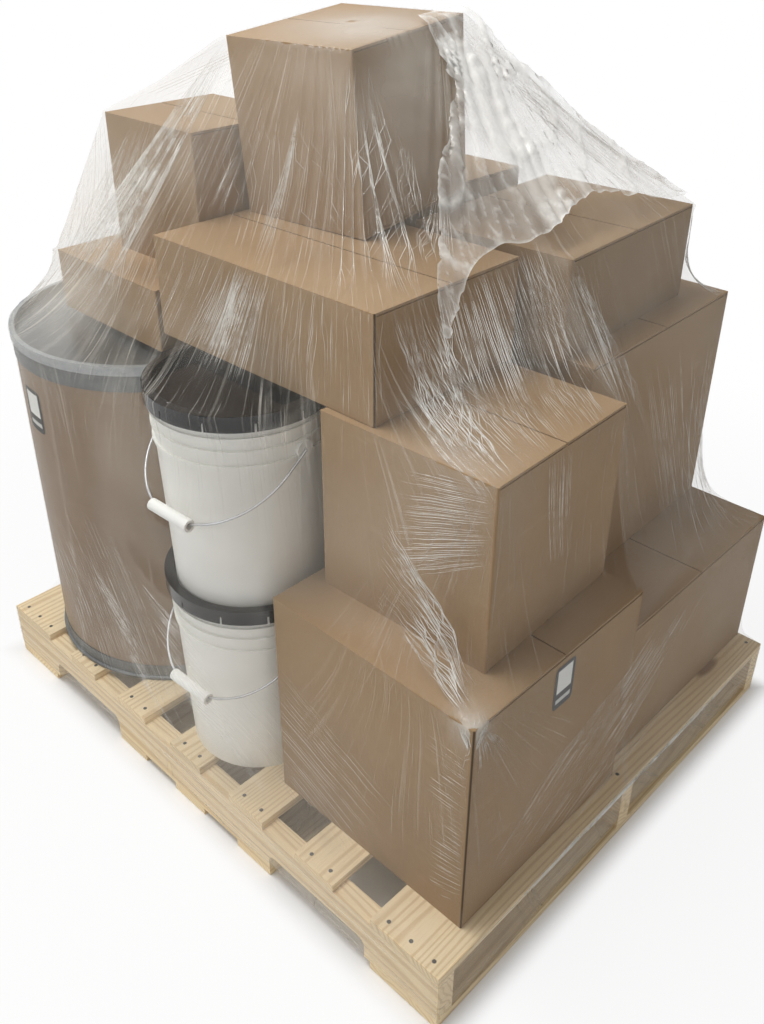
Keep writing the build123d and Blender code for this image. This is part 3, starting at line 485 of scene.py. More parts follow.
def filmRays(columns, rows):
    # every column starts on an upright core and tilts from level at the hem to upright at the top
    turn = np.linspace(0, 2 * math.pi, columns, endpoint=False)
    share = np.linspace(0, 1, rows)
    tilt = np.radians(np.interp(share, *filmShape["tiltRows"]))
    smooth = np.convolve(np.pad(tilt, rows // 24, mode="edge"), np.ones(rows // 24 * 2 + 1) / (rows // 24 * 2 + 1), "valid")
    tilt = np.where((share > 0.06) & (share < 0.94), smooth, tilt)
    hem = filmShape["boardHem"] + filmShape["hemWave"] * (
        np.sin(3 * turn + 0.7) + 0.6 * np.sin(7 * turn + 2.1) + 0.4 * np.sin(17 * turn)
    )
    rise = np.sin(tilt)[:, None] ** filmShape["coreBend"]
    origins = np.zeros((rows, columns, 3))
    origins[..., 0] = filmCore[0]
    origins[..., 1] = filmCore[1]
    origins[..., 2] = hem[None, :] + (filmShape["coreTop"] - hem[None, :]) * rise
    rays = np.zeros((rows, columns, 3))
    rays[..., 0] = np.cos(turn)[None, :] * np.cos(tilt)[:, None]
    rays[..., 1] = np.sin(turn)[None, :] * np.cos(tilt)[:, None]
    rays[..., 2] = np.sin(tilt)[:, None]
    return origins, rays


def reachOut(origins, rays, sides):
    shape = origins.shape[:2]
    enter = np.zeros(shape)
    leave = np.full(shape, np.inf)
    for normal, offset in sides:
        slope = rays @ normal
        gap = offset + filmShape["standOff"] - origins @ normal
        safe = np.where(np.abs(slope) < 1e-9, 1e-9, slope)
        cut = gap / safe
        leave = np.where(slope > 0, np.minimum(leave, cut), leave)
        enter = np.where(slope <= 0, np.maximum(enter, cut), enter)
    return np.where(leave > enter, leave, 0.0)


def spreadTo(field, rows, columns):
    # resamples a field that closes round in its columns
    oldRows, oldColumns = field.shape
    rowAt = np.linspace(0, oldRows - 1, rows)
    columnAt = np.arange(columns) * oldColumns / columns
    low = np.floor(rowAt).astype(int)
    high = np.minimum(low + 1, oldRows - 1)
    field = field[low] + (field[high] - field[low]) * (rowAt - low)[:, None]
    left = np.floor(columnAt).astype(int) % oldColumns
    right = (left + 1) % oldColumns
    return field[:, left] + (field[:, right] - field[:, left]) * (columnAt - np.floor(columnAt))[None, :]


topNear = nodeCorner("carton_top", 1, 0, 1)
topLeft = nodeCorner("carton_top", 0, 0, 1)
topFar = nodeCorner("carton_top", 1, 1, 1)
topBack = nodeCorner("carton_top", 0, 1, 1)
flatNear = nodeCorner("carton_long_flat", 1, 0, 1)
flatLeft = nodeCorner("carton_long_flat", 0, 0, 1)
middleNear = nodeCorner("carton_near_middle", 1, 0, 1)
middleFar = nodeCorner("carton_near_middle", 1, 1, 1)
baseNear = nodeCorner("carton_near_base", 1, 0, 1)
wideFar = nodeCorner("carton_wide_base", 1, 1, 1)
tallFar = nodeCorner("carton_tall_right", 1, 1, 1)
rightNear = nodeCorner("carton_flat_right", 1, 0, 1)
rightFar = nodeCorner("carton_flat_right", 1, 1, 1)
cubeLeft = nodeCorner("carton_cube_left", 0, 0, 1)
cubeBack = nodeCorner("carton_cube_left", 0, 1, 1)
lowLeft = nodeCorner("carton_flat_left", 0, 0, 1)
drumLow, drumHigh = [np.array(end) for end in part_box("drum_locking_ring")]
drumMiddle = (drumLow + drumHigh) / 2
drumMiddle[2] = drumHigh[2]
drumReach = (drumHigh[0] - drumLow[0]) / 2
rimFront = drumMiddle + np.array([-0.35, -0.94, 0]) * drumReach
rimLeft = drumMiddle + np.array([-1.0, 0.0, 0]) * drumReach


def tensionSides(start, end):
    # a thin upright plate under a taut line of the film
    run = (end - start) / np.linalg.norm(end - start)
    aside = np.cross([0.0, 0.0, 1.0], run)
    aside = aside / np.linalg.norm(aside)
    upward = np.cross(run, aside)
    half, deep = filmShape["tensionHalf"], filmShape["tensionDeep"]
    return [
        (aside, aside @ start + half), (-aside, -aside @ start + half), (upward, upward @ start),
        (-upward, -upward @ start + deep), (run, run @ end), (-run, -run @ start),
    ]


# taut lines between corners, each with how far its middle hangs below the straight line
for start, end, hang in (
    (topFar, rightFar, 0.020), (topLeft, cubeLeft, 0.008), (cubeLeft, lowLeft, 0.0), (lowLeft, rimLeft, 0.010),
    (topBack, cubeBack, 0.020),
):
    middle = (start + end) / 2 - np.array([0.0, 0.0, hang])
    obstacles += [tensionSides(start, middle), tensionSides(middle, end)]

topLow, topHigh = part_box("carton_top")
filmCore = ((topLow.x + topHigh.x) / 2, (topLow.y + topHigh.y) / 2)
distance = None
for columns, rows, passes in filmShape["levels"]:
    origins, rays = filmRays(columns, rows)
    floorLine = np.max([reachOut(origins, rays, sides) for sides in obstacles], axis=0)
    distance = floorLine.copy() if distance is None else np.maximum(spreadTo(distance, rows, columns), floorLine)
    hoop = filmShape["hoopPull"]
    for count in range(passes):
        # each point moves along its ray, only by what the pull of its neighbours has square to the skin
        skin = origins + rays * distance[..., None]
        right, left = np.roll(skin, -1, 1), np.roll(skin, 1, 1)
        above = np.concatenate([skin[1:], np.broadcast_to(skin[-1].mean(0), skin[-1:].shape)])
        below = np.concatenate([skin[:1], skin[:-1]])
        pull = (right + left) / 2 * hoop + (above + below) / 2 * (1 - hoop) - skin
        pull[0] = (right[0] + left[0]) / 2 - skin[0]
        square = np.cross(right - left, above - below)
        square = square / np.maximum(np.linalg.norm(square, axis=-1, keepdims=True), 1e-12)
        facing = np.maximum((square * rays).sum(-1), 0.25)
        distance = np.maximum(distance + 0.9 * (pull * square).sum(-1) / facing, floorLine)
filmGap = distance - floorLine
filmSkin = origins + rays * distance[..., None]
print("film relaxed, highest", round(float(filmSkin[..., 2].max()), 4))


# Each fan of pleats: where it is pulled from, where it runs to, how wide, how far and how strong.
# back moves the root of the fan behind its start, so that its pleats run more alike.
fanSets = {
    "fanA": [
        {"start": topNear, "end": flatNear, "back": 0.10, "spread": 0.42, "reach": 0.62, "strength": 1.0},
        {"start": topLeft, "end": rimFront, "back": 0.16, "spread": 0.40, "reach": 0.95, "strength": 0.9},
        {"start": topFar, "end": rightNear, "back": 0.20, "spread": 0.45, "reach": 0.60, "strength": 0.7},
        {"start": middleNear, "end": baseNear, "back": 0.10, "spread": 0.5, "reach": 0.42, "strength": 0.8},
        {"start": tallFar, "end": wideFar, "back": 0.15, "spread": 0.5, "reach": 0.6, "strength": 0.8},
        {"start": topBack, "end": cubeBack, "back": 0.16, "spread": 0.7, "reach": 0.7, "strength": 0.7},
    ],
    "fanB": [
        {"start": (topNear + topLeft) / 2, "end": (flatNear * 0.35 + flatLeft * 0.65), "back": 0.25, "spread": 0.45,
         "reach": 0.80, "strength": 0.9},
        {"start": flatNear, "end": middleNear, "back": 0.10, "spread": 0.55, "reach": 0.42, "strength": 0.9},
        {"start": topFar, "end": rightFar, "back": 0.14, "spread": 0.35, "reach": 0.65, "strength": 0.9},
        {"start": rightNear, "end": middleFar, "back": 0.25, "spread": 0.50, "reach": 0.55, "strength": 0.8},
        {"start": cubeLeft, "end": rimLeft, "back": 0.10, "spread": 0.8, "reach": 0.5, "strength": 0.8},
        {"start": baseNear, "end": baseNear - np.array([0.1, -0.2, 0.5]), "back": 0.1, "spread": 0.9, "reach": 0.35,
         "strength": 0.6},
        {"start": wideFar, "end": wideFar - np.array([-0.05, 0.25, 0.5]), "back": 0.1, "spread": 0.9, "reach": 0.4,
         "strength": 0.6},
    ],
}


def eased(value, low, high):
    share = np.clip((value - low) / (high - low), 0, 1)
    return share * share * (3 - 2 * share)


def fanField(fans, points, outward):
    # for each point: its angle in the strongest fan, its distance from that fan's root, and the fan's strength
    best = np.zeros(len(points))
    second = np.zeros(len(points))
    angle = np.zeros(len(points))
    away = np.zeros(len(points))
    for number, fan in enumerate(fans):
        run = fan["end"] - fan["start"]
        run = run / np.linalg.norm(run)
        root = fan["start"] - run * fan["back"]
        offset = points - root
        nearest = np.argmin(((points - (fan["start"] + fan["end"]) / 2) ** 2).sum(1))
        across = np.cross(outward[nearest], run)
        across = across / np.linalg.norm(across)
        up = np.cross(run, across)
        along, aside, proud = offset @ run, offset @ across, offset @ up
        turn = np.arctan2(aside, along)
        length = np.hypot(aside, along)
        weight = fan["strength"] * eased(fan["spread"] - np.abs(turn), 0, fan["spread"] * 0.5)
        weight = weight * eased(length, fan["back"] * 0.9, fan["back"] * 0.9 + 0.05)
        weight = weight * (1 - eased(length, fan["reach"] * 0.55 + fan["back"], fan["reach"] + fan["back"]))
        weight = weight * (1 - eased(np.abs(proud), 0.16, 0.30))
        stronger = weight > best
        second = np.where(stronger, best, np.maximum(second, weight))
        angle = np.where(stronger, turn + number * 7.3, angle)
        away = np.where(stronger, length, away)
        best = np.where(stronger, weight, best)
    return np.stack([angle, away, best - second], 1)


skinPoints = filmSkin.reshape(-1, 3)
skinOutward = rays.reshape(-1, 3)
fanFields = {name: fanField(fans, skinPoints, skinOutward) for name, fans in fanSets.items()}

# broad pleats lift the skin itself where it spans free air
free = eased(filmGap.reshape(-1), 0.003, 0.04)
lift = np.zeros(len(skinPoints))
for name, field in fanFields.items():
    phase = field[:, 0] * 52 + 1.4 * np.sin(field[:, 0] * 17 + field[:, 1] * 3)
    lift += field[:, 2] * free * 0.0028 * (np.abs(np.sin(phase)) ** 3 * 2 - 0.5) * eased(field[:, 1], 0.1, 0.35)
skinPoints = skinPoints + skinOutward * lift[:, None]
filmSkin = skinPoints.reshape(filmSkin.shape)


def gridMesh(name, skin, pole=True):
    rows, columns = skin.shape[:2]
    points = list(map(tuple, skin.reshape(-1, 3)))
    faces = []
    for row in range(rows - 1):
        for column in range(columns):
            after = (column + 1) % columns
            faces.append((row * columns + column, row * columns + after, (row + 1) * columns + after, (row + 1) * columns + column))
    if pole:
        points.append(tuple(skin[-1].mean(0)))
        for column in range(columns):
            faces.append(((rows - 1) * columns + column, (rows - 1) * columns + (column + 1) % columns, len(points) - 1))
    mesh = bpy.data.meshes.new(name)
    mesh.from_pydata(points, [], faces)
    mesh.shade_smooth()
    piece = bpy.data.objects.new(name, mesh)
    bpy.context.scene.collection.objects.link(piece)
    return piece


def addField(piece, name, values):
    attribute = piece.data.attributes.new(name, "FLOAT_VECTOR", "POINT")
    padded = np.concatenate([values, np.zeros((len(piece.data.vertices) - len(values), 3))])
    attribute.data.foreach_set("vector", padded.astype(np.float32).ravel())


# Where the film looks milky, and one painted highlight: middle, reach and strength of each cloud
mistAndGlintSpots = [
    ((-0.44, -0.30, 0.86), 0.18, 0.22),
    ((-0.33, -0.42, 0.84), 0.12, 0.12),
    ((-0.42, -0.22, 1.02), 0.16, 0.08),
    ((-0.25, -0.20, 1.16), 0.14, 0.05),
    ((-0.04, -0.03, 1.33), 0.11, 0.46),
    ((0.12, -0.04, 1.24), 0.13, 0.20),
    # a painted highlight: the bright glint on the film's tip at the near base corner
    ((0.578, -0.426, 0.530), 0.032, 0.60),
    ((0.43, -0.37, 0.76), 0.12, 0.08),
    ((0.48, -0.33, 0.83), 0.10, 0.08),
    ((0.42, 0.40, 0.90), 0.20, 0.14),
    ((0.40, 0.10, 0.98), 0.14, 0.08),
    ((0.58, 0.40, 0.35), 0.25, 0.10),
    ((0.20, -0.47, 0.20), 0.22, 0.10),
    ((-0.45, 0.40, 0.90), 0.25, 0.16),
    ((0.10, 0.50, 0.60), 0.35, 0.10),
    ((-0.60, 0.20, 0.50), 0.35, 0.10),
]


def mistField(points, gaps):
    # milky in the named places, one of which is a painted highlight, and where the film hangs free in the air
    mistAndGlint = filmLook["airMist"] * eased(gaps, 0.02, 0.14)
    for middle, reach, strength in mistAndGlintSpots:
        away = np.linalg.norm(points - np.array(middle), axis=1)
        mistAndGlint = mistAndGlint + strength * np.exp(-((away / reach) ** 2))
    low = eased(0.16 - points[:, 2], 0.02, 0.07)
    return np.stack([np.clip(mistAndGlint, 0, 1), low, np.zeros(len(points))], 1)


filmLook = {
    "clear": 0.03,
    "haze": 0.05,
    "airMist": 0.09,
    "hemMist": 0.30,
    # how strong the painted highlight streaks along the pleats are
    "streak": 0.45,
    "pleatPerRadian": 90.0,
    "colour": (248, 241, 228),
    "rough": 0.14,
}


def filmPlastic(name, fields, clear, haze, streak):
    bench = Bench(name)
    where = bench.place()
    # the fan streaks are painted highlights: thin white lines along the pleats that stand in for lamp reflections on
    # the film, and they also give its bump
    pleatHighlights = None
    for number, field in enumerate(fields):
        fan = bench.axes(bench.node("ShaderNodeAttribute", {"attribute_name": field}, output="Vector"))
        layout = bench.node("ShaderNodeCombineXYZ", {}, {0: fan[0] * filmLook["pleatPerRadian"], 1: fan[1] * 2.0, 2: number * 3.0})
        broad = bench.noise(layout, 1.0, 2, 0.5).span(0.58, 0.72)
        fine = bench.noise(layout, 3.4, 2, 0.6, 0.2).span(0.60, 0.72)
        lines = (broad * 0.5 + fine * 0.8) * fan[2]
        pleatHighlights = lines if pleatHighlights is None else pleatHighlights.highest(lines)
    cloud = bench.noise(where, 3.0, 4, 0.55)
    mistAndGlint = bench.axes(bench.node("ShaderNodeAttribute", {"attribute_name": "mistAndGlint"}, output="Vector"))
    wisp = bench.noise(bench.place((1, 1, 1.6)), 6, 3, 0.5).span(0.3, 0.7)
    hemLines = bench.noise(bench.place((0.25, 0.12, 9)), 26, 3, 0.6).span(0.46, 0.68)
    alpha = clear + cloud.span(0.35, 0.75) * haze + mistAndGlint[0] * (wisp * 0.4 + 0.7) + pleatHighlights * streak
    alpha = alpha + mistAndGlint[1] * (hemLines * 0.7 + 0.3) * filmLook["hemMist"]
    return bench.finish(
        Base_Color=tint(*filmLook["colour"]),
        Roughness=filmLook["rough"] + cloud * 0.08,
        Alpha=alpha.lowest(0.9),
        Normal=bench.bump(pleatHighlights, 0.003, 0.5),
        IOR=1.5,
    )


stretchFilm = gridMesh("stretchFilm", filmSkin)
for name, field in fanFields.items():
    addField(stretchFilm, name, field)
addField(stretchFilm, "mistAndGlint", mistField(skinPoints, filmGap.reshape(-1)))
filmSurface = filmPlastic("filmPlastic", list(fanFields), filmLook["clear"], filmLook["haze"], filmLook["streak"])
stretchFilm.data.materials.append(filmSurface)
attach(stretchFilm, "root")
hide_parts("stretch_wrap")


# Tension pleats: fine ridges that run over the film from one edge to another, coloured white as painted highlights

pleatLook = {
    "points": 11,
    "sides": 3,
    "seed": 7,
    # how opaque the white pleat strands get at their painted glints
    "ridgeHighlightAlpha": 0.85,
    "denser": 1.15,
    "thinner": 0.62,
    "longer": 0.32,
    "waver": 0.004,
    # from one edge, to another edge, how many, how thick in millimetres, how long each is as a share of the way
    "bundles": [
        ((-0.172, -0.182, 1.270), (-0.150, -0.190, 1.268), (-0.470, -0.400, 0.830), (-0.263, -0.431, 0.847), 70, 0.9, 0.55),
        ((-0.340, -0.229, 1.155), (-0.270, -0.240, 1.155), (-0.450, -0.390, 0.845), (-0.214, -0.415, 0.857), 44, 0.9, 0.5),
        ((-0.062, -0.246, 1.140), (-0.052, -0.246, 1.140), (-0.090, -0.300, 1.052), (-0.040, -0.301, 1.050), 10, 0.7, 0.8),
        ((0.021, -0.201, 1.201), (0.027, -0.201, 1.201), (0.048, -0.325, 1.014), (0.077, -0.327, 1.009), 14, 0.7, 0.7),
        ((-0.010, -0.330, 1.006), (0.100, -0.328, 1.004), (-0.010, -0.420, 0.860), (0.120, -0.405, 0.865), 56, 1.0, 0.75),
        ((0.022, -0.331, 1.006), (0.060, -0.331, 1.005), (0.045, -0.415, 0.870), (0.085, -0.410, 0.880), 20, 1.3, 0.7),
        ((-0.220, -0.320, 1.004), (0.300, -0.310, 1.004), (-0.240, -0.400, 0.850), (0.340, -0.345, 0.850), 60, 0.5, 0.5),
        ((0.080, -0.158, 1.270), (0.098, -0.110, 1.262), (0.215, -0.325, 1.008), (0.312, -0.235, 1.006), 50, 0.8, 0.8),
        ((-0.165, -0.245, 1.230), (0.085, -0.185, 1.240), (-0.200, -0.335, 1.008), (0.260, -0.320, 1.008), 34, 0.5, 0.6),
        ((0.548, -0.424, 0.534), (0.580, -0.392, 0.534), (0.572, -0.436, 0.490), (0.592, -0.420, 0.490), 16, 1.3, 0.7),
        ((0.150, -0.118, 1.165), (0.168, -0.108, 1.150), (0.190, -0.190, 1.050), (0.230, -0.150, 1.060), 14, 0.8, 0.8),
        ((0.205, -0.110, 1.110), (0.216, -0.090, 1.100), (0.240, -0.200, 1.020), (0.290, -0.150, 1.020), 18, 0.8, 0.8),
        ((0.312, -0.300, 0.995), (0.318, -0.220, 0.985), (0.400, -0.325, 0.855), (0.440, -0.240, 0.862), 38, 0.9, 0.8),
        ((0.302, -0.215, 1.000), (0.305, -0.110, 1.008), (0.440, -0.290, 0.858), (0.480, -0.180, 0.862), 40, 0.9, 0.8),
        ((0.300, -0.120, 1.012), (0.308, 0.010, 1.020), (0.455, -0.190, 0.864), (0.490, -0.060, 0.866), 38, 0.8, 0.75),
        ((0.330, -0.060, 1.015), (0.345, 0.060, 1.015), (0.470, -0.060, 0.860), (0.500, 0.060, 0.780), 26, 0.7, 0.7),
        ((0.365, 0.010, 1.010), (0.372, 0.030, 1.010), (0.462, 0.060, 0.790), (0.472, 0.150, 0.712), 18, 0.9, 0.8),
        ((0.335, -0.330, 0.900), (0.362, -0.240, 0.930), (0.500, -0.338, 0.816), (0.520, -0.290, 0.828), 48, 0.9, 0.8),
        ((0.390, -0.260, 0.880), (0.460, -0.060, 0.870), (0.512, -0.270, 0.838), (0.515, -0.060, 0.838), 44, 0.7, 0.8),
        ((0.360, -0.356, 0.815), (0.385, -0.378, 0.655), (0.518, -0.331, 0.833), (0.520, -0.333, 0.715), 54, 0.8, 0.5),
        ((0.365, -0.374, 0.750), (0.376, -0.398, 0.600), (0.540, -0.372, 0.556), (0.575, -0.420, 0.530), 44, 1.1, 0.75),
        ((0.512, -0.220, 0.836), (0.512, -0.160, 0.836), (0.540, -0.215, 0.660), (0.540, -0.165, 0.655), 12, 0.7, 0.6),
        ((0.575, -0.420, 0.520), (0.580, -0.400, 0.520), (0.560, -0.420, 0.440), (0.584, -0.330, 0.430), 18, 0.8, 0.8),
        ((0.500, -0.432, 0.480), (0.530, -0.445, 0.190), (0.578, -0.424, 0.470), (0.590, -0.434, 0.180), 34, 0.5, 0.6),
        ((0.583, -0.300, 0.300), (0.600, -0.100, 0.180), (0.570, 0.100, 0.400), (0.570, 0.300, 0.380), 34, 0.5, 0.5),
        ((0.590, -0.380, 0.220), (0.605, -0.250, 0.130), (0.585, -0.100, 0.400), (0.600, 0.200, 0.200), 30, 0.5, 0.5),
        ((0.604, -0.480, 0.118), (0.606, -0.440, 0.108), (0.606, 0.440, 0.118), (0.608, 0.480, 0.106), 40, 0.7, 0.3),
        ((-0.100, -0.492, 0.460), (-0.040, -0.505, 0.300), (0.060, -0.494, 0.400), (0.260, -0.492, 0.160), 46, 0.5, 0.45),
        ((-0.300, -0.500, 0.420), (-0.200, -0.500, 0.260), (-0.080, -0.500, 0.300), (0.020, -0.508, 0.130), 30, 0.5, 0.45),
        ((-0.460, -0.480, 0.420), (-0.200, -0.500, 0.560), (-0.300, -0.510, 0.120), (0.080, -0.510, 0.160), 46, 0.4, 0.45),
        ((0.180, -0.470, 0.480), (0.100, -0.505, 0.300), (0.480, -0.430, 0.300), (0.420, -0.480, 0.140), 26, 0.4, 0.4),
        ((0.345, 0.425, 1.008), (0.352, 0.400, 1.008), (0.395, 0.485, 0.850), (0.415, 0.470, 0.800), 24, 0.8, 0.7),
        ((0.060, 0.110, 1.290), (0.090, 0.060, 1.280), (0.300, 0.380, 1.020), (0.350, 0.300, 1.020), 34, 0.8, 0.5),
        ((-0.300, 0.380, 1.015), (-0.290, 0.390, 1.015), (-0.560, 0.500, 0.840), (-0.450, 0.500, 0.840), 34, 0.8, 0.5),
        ((-0.040, 0.120, 1.290), (0.040, 0.140, 1.300), (-0.280, 0.380, 1.020), (0.060, 0.400, 1.010), 44, 0.8, 0.5),
        ((-0.420, -0.010, 1.145), (-0.425, -0.060, 1.145), (-0.600, 0.000, 0.850), (-0.600, -0.250, 0.800), 44, 0.8, 0.5),
        ((-0.550, 0.500, 0.800), (0.300, 0.500, 0.800), (-0.500, 0.508, 0.300), (0.400, 0.508, 0.250), 60, 0.6, 0.3),
        ((-0.575, 0.450, 0.780), (-0.600, -0.100, 0.700), (-0.605, 0.400, 0.250), (-0.620, -0.200, 0.250), 50, 0.6, 0.3),
        ((0.416, 0.460, 0.800), (0.420, 0.150, 0.830), (0.560, 0.460, 0.430), (0.560, 0.150, 0.430), 46, 0.6, 0.35),
    ],
}


class GeometryBench:
    # the node tree of a Geometry Nodes modifier
    def __init__(self, name):
        self.tree = bpy.data.node_groups.new(name, "GeometryNodeTree")
        self.tree.interface.new_socket("Geometry", in_out="OUTPUT", socket_type="NodeSocketGeometry")
        self.entry = None

    def asks(self, sockets):
        made = {name: self.tree.interface.new_socket(name, in_out="INPUT", socket_type=kind) for name, kind in sockets.items()}
        self.entry = self.tree.nodes.new("NodeGroupInput")
        self.identifiers = {name: socket.identifier for name, socket in made.items()}

    def given(self, name):
        return self.entry.outputs[name]

    def node(self, kind, settings={}, inputs={}, output=0):
        made = self.tree.nodes.new(kind)
        for name, value in settings.items():
            setattr(made, name, value)
        for key, value in inputs.items():
            if isinstance(value, bpy.types.NodeSocket):
                self.tree.links.new(value, made.inputs[key])
            else:
                made.inputs[key].default_value = value
        return made.outputs[output]

    def maths(self, operation, left, right=0.0):
        return self.node("ShaderNodeMath", {"operation": operation}, {0: left, 1: right})

    def vectors(self, operation, left, right):
        return self.node("ShaderNodeVectorMath", {"operation": operation}, {0: left, 1: right})

    def between(self, share, first, last):
        return self.node("ShaderNodeMix", {"data_type": "VECTOR"}, {0: share, 4: first, 5: last}, output=1)

    def chance(self, strand, seed, low=0.0, high=1.0):
        return self.node("FunctionNodeRandomValue", {}, {2: low, 3: high, "ID": strand, "Seed": seed}, output=1)


def pleatTree():
    # strands of a bundle, laid on the film and thinned at both ends
    bench = GeometryBench("filmPleats")
    bench.asks({
        "Film": "NodeSocketObject", "From A": "NodeSocketVector", "From B": "NodeSocketVector",
        "To A": "NodeSocketVector", "To B": "NodeSocketVector", "Strands": "NodeSocketInt",
        "Points": "NodeSocketInt", "Sides": "NodeSocketInt", "Thickness": "NodeSocketFloat",
        "Share": "NodeSocketFloat", "Seed": "NodeSocketInt", "Material": "NodeSocketMaterial",
    })
    line = bench.node("GeometryNodeCurvePrimitiveLine", {}, {"End": (1.0, 0.0, 0.0)})
    line = bench.node("GeometryNodeResampleCurve", {}, {"Curve": line, "Count": bench.given("Points")})
    roots = bench.node("GeometryNodePoints", {}, {"Count": bench.given("Strands")})
    strands = bench.node("GeometryNodeInstanceOnPoints", {}, {"Points": roots, "Instance": line})
    strands = bench.node("GeometryNodeRealizeInstances", {}, {0: strands})
    strand = bench.node("GeometryNodeCurveOfPoint")
    along = bench.node("GeometryNodeSplineParameter")
    seed = bench.given("Seed")
    jitter = bench.chance(strand, seed)
    across = bench.maths("DIVIDE", bench.maths("ADD", strand, jitter), bench.given("Strands"))
    length = bench.maths("MULTIPLY", bench.given("Share"), bench.chance(strand, bench.maths("ADD", seed, 1), 0.35, 1.2))
    length = bench.maths("MINIMUM", length, 1.0)
    spare = bench.maths("SUBTRACT", 1.0, length)
    begin = bench.maths("MULTIPLY", spare, bench.chance(strand, bench.maths("ADD", seed, 2)))
    way = bench.maths("ADD", begin, bench.maths("MULTIPLY", length, along))
    first = bench.between(across, bench.given("From A"), bench.given("From B"))
    last = bench.between(across, bench.given("To A"), bench.given("To B"))
    place = bench.between(way, first, last)
    wave = bench.node("ShaderNodeTexNoise", {}, {"Vector": place, "Scale": 9.0, "Detail": 1.0}, output=1)
    wave = bench.vectors("SUBTRACT", wave, (0.5, 0.5, 0.5))
    place = bench.vectors("ADD", place, bench.vectors("MULTIPLY", wave, (pleatLook["waver"],) * 3))
    film = bench.node("GeometryNodeObjectInfo", {}, {"Object": bench.given("Film")}, output="Geometry")
    onFilm = bench.node("GeometryNodeProximity", {"target_element": "FACES"}, {0: film, 2: place})
    outward = bench.node(
        "GeometryNodeSampleNearestSurface", {"data_type": "FLOAT_VECTOR"},
        {0: film, "Value": bench.node("GeometryNodeInputNormal"), "Sample Position": place},
    )
    slim = bench.maths("SINE", bench.maths("MULTIPLY", along, math.pi))
    slim = bench.maths("POWER", bench.maths("MAXIMUM", slim, 0.02), 0.75)
    thick = bench.maths("MULTIPLY", bench.given("Thickness"), bench.chance(strand, bench.maths("ADD", seed, 3), 0.35, 1.0))
    thick = bench.maths("MULTIPLY", thick, slim)
    raised = bench.node("ShaderNodeVectorMath", {"operation": "SCALE"}, {0: outward, "Scale": thick})
    strands = bench.node(
        "GeometryNodeSetPosition", {}, {"Geometry": strands, "Position": bench.vectors("ADD", onFilm, raised)}
    )
    profile = bench.node("GeometryNodeCurvePrimitiveCircle", {}, {"Resolution": bench.given("Sides"), "Radius": 1.0})
    mesh = bench.node("GeometryNodeCurveToMesh", {}, {"Curve": strands, "Profile Curve": profile, "Scale": thick})
    mesh = bench.node("GeometryNodeRealizeInstances", {}, {0: mesh})
    mesh = bench.node("GeometryNodeSetMaterial", {}, {"Geometry": mesh, "Material": bench.given("Material")})
    bench.tree.links.new(mesh, bench.tree.nodes.new("NodeGroupOutput").inputs[0])
    return bench


def ridgePlastic():
    bench = Bench("ridgePlastic")
    # white strands that stand in for the lamps' reflection along each pleat: painted highlights, brighter in noise
    # patches as painted glints
    paintedGlint = bench.noise(bench.place(), 16, 3, 0.6).span(0.38, 0.60)
    return bench.finish(
        Base_Color=tint(255, 253, 246),
        Roughness=0.14 + paintedGlint * 0.1,
        Alpha=pleatLook["ridgeHighlightAlpha"] * (0.22 + paintedGlint * 0.78),
        Specular_IOR_Level=1.0,
        IOR=2.0,
    )


def modifierMesh(name, bench, values):
    # the result of a Geometry Nodes tree as a plain mesh
    holder = bpy.data.objects.new(name, bpy.data.meshes.new(name))
    bpy.context.scene.collection.objects.link(holder)
    modifier = holder.modifiers.new(name, "NODES")
    modifier.node_group = bench.tree
    for key, value in values.items():
        modifier[bench.identifiers[key]] = value
    graph = bpy.context.evaluated_depsgraph_get()
    mesh = bpy.data.meshes.new_from_object(holder.evaluated_get(graph))
    bpy.data.objects.remove(holder)
    return mesh


pleatBench = pleatTree()
ridgeHighlightMaterial = ridgePlastic()
ridges = bmesh.new()
for count, (fromA, fromB, toA, toB, strands, thickness, share) in enumerate(pleatLook["bundles"]):
    mesh = modifierMesh("pleats" + str(count), pleatBench, {
        "Film": stretchFilm, "From A": fromA, "From B": fromB, "To A": toA, "To B": toB,
        "Strands": round(strands * pleatLook["denser"]), "Points": pleatLook["points"],
        "Sides": pleatLook["sides"], "Thickness": thickness / 1000 * pleatLook["thinner"],
        "Share": min(0.95, share + pleatLook["longer"]), "Seed": pleatLook["seed"] + count * 11,
        "Material": ridgeHighlightMaterial,
    })
    ridges.from_mesh(mesh)
    bpy.data.meshes.remove(mesh)
ridgeMesh = bpy.data.meshes.new("filmPleats")
ridges.to_mesh(ridgeMesh)
ridges.free()
ridgeMesh.materials.clear()
ridgeMesh.materials.append(ridgeHighlightMaterial)
ridgeMesh.shade_smooth()
filmPleats = bpy.data.objects.new("filmPleats", ridgeMesh)
bpy.context.scene.collection.objects.link(filmPleats)
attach(filmPleats, "root")
print("pleats made,", len(ridgeMesh.polygons), "faces")


# Loose sheet: a crumpled flap of film that lies over the right side of the top carton

flapLook = {
    # its outline seen from above, in metres
    "outline": [
        (0.040, 0.036), (0.116, 0.012), (0.132, 0.014), (0.171, -0.044), (0.205, -0.099), (0.251, -0.147),
        (0.312, -0.220), (0.342, -0.232), (0.316, -0.172), (0.298, -0.128), (0.296, -0.072), (0.314, -0.011),
        (0.318, 0.044), (0.304, 0.113), (0.300, 0.180), (0.318, 0.260), (0.338, 0.400), (0.270, 0.380),
        (0.200, 0.290), (0.120, 0.165), (0.052, 0.125),
    ],
    "spacing": 0.0042,
    "lift": 0.0035,
    "crumple": 0.0065,
    "band": ((0.112, 0.050), (0.313, 0.068), 0.034),
    "seed": 3.7,
}


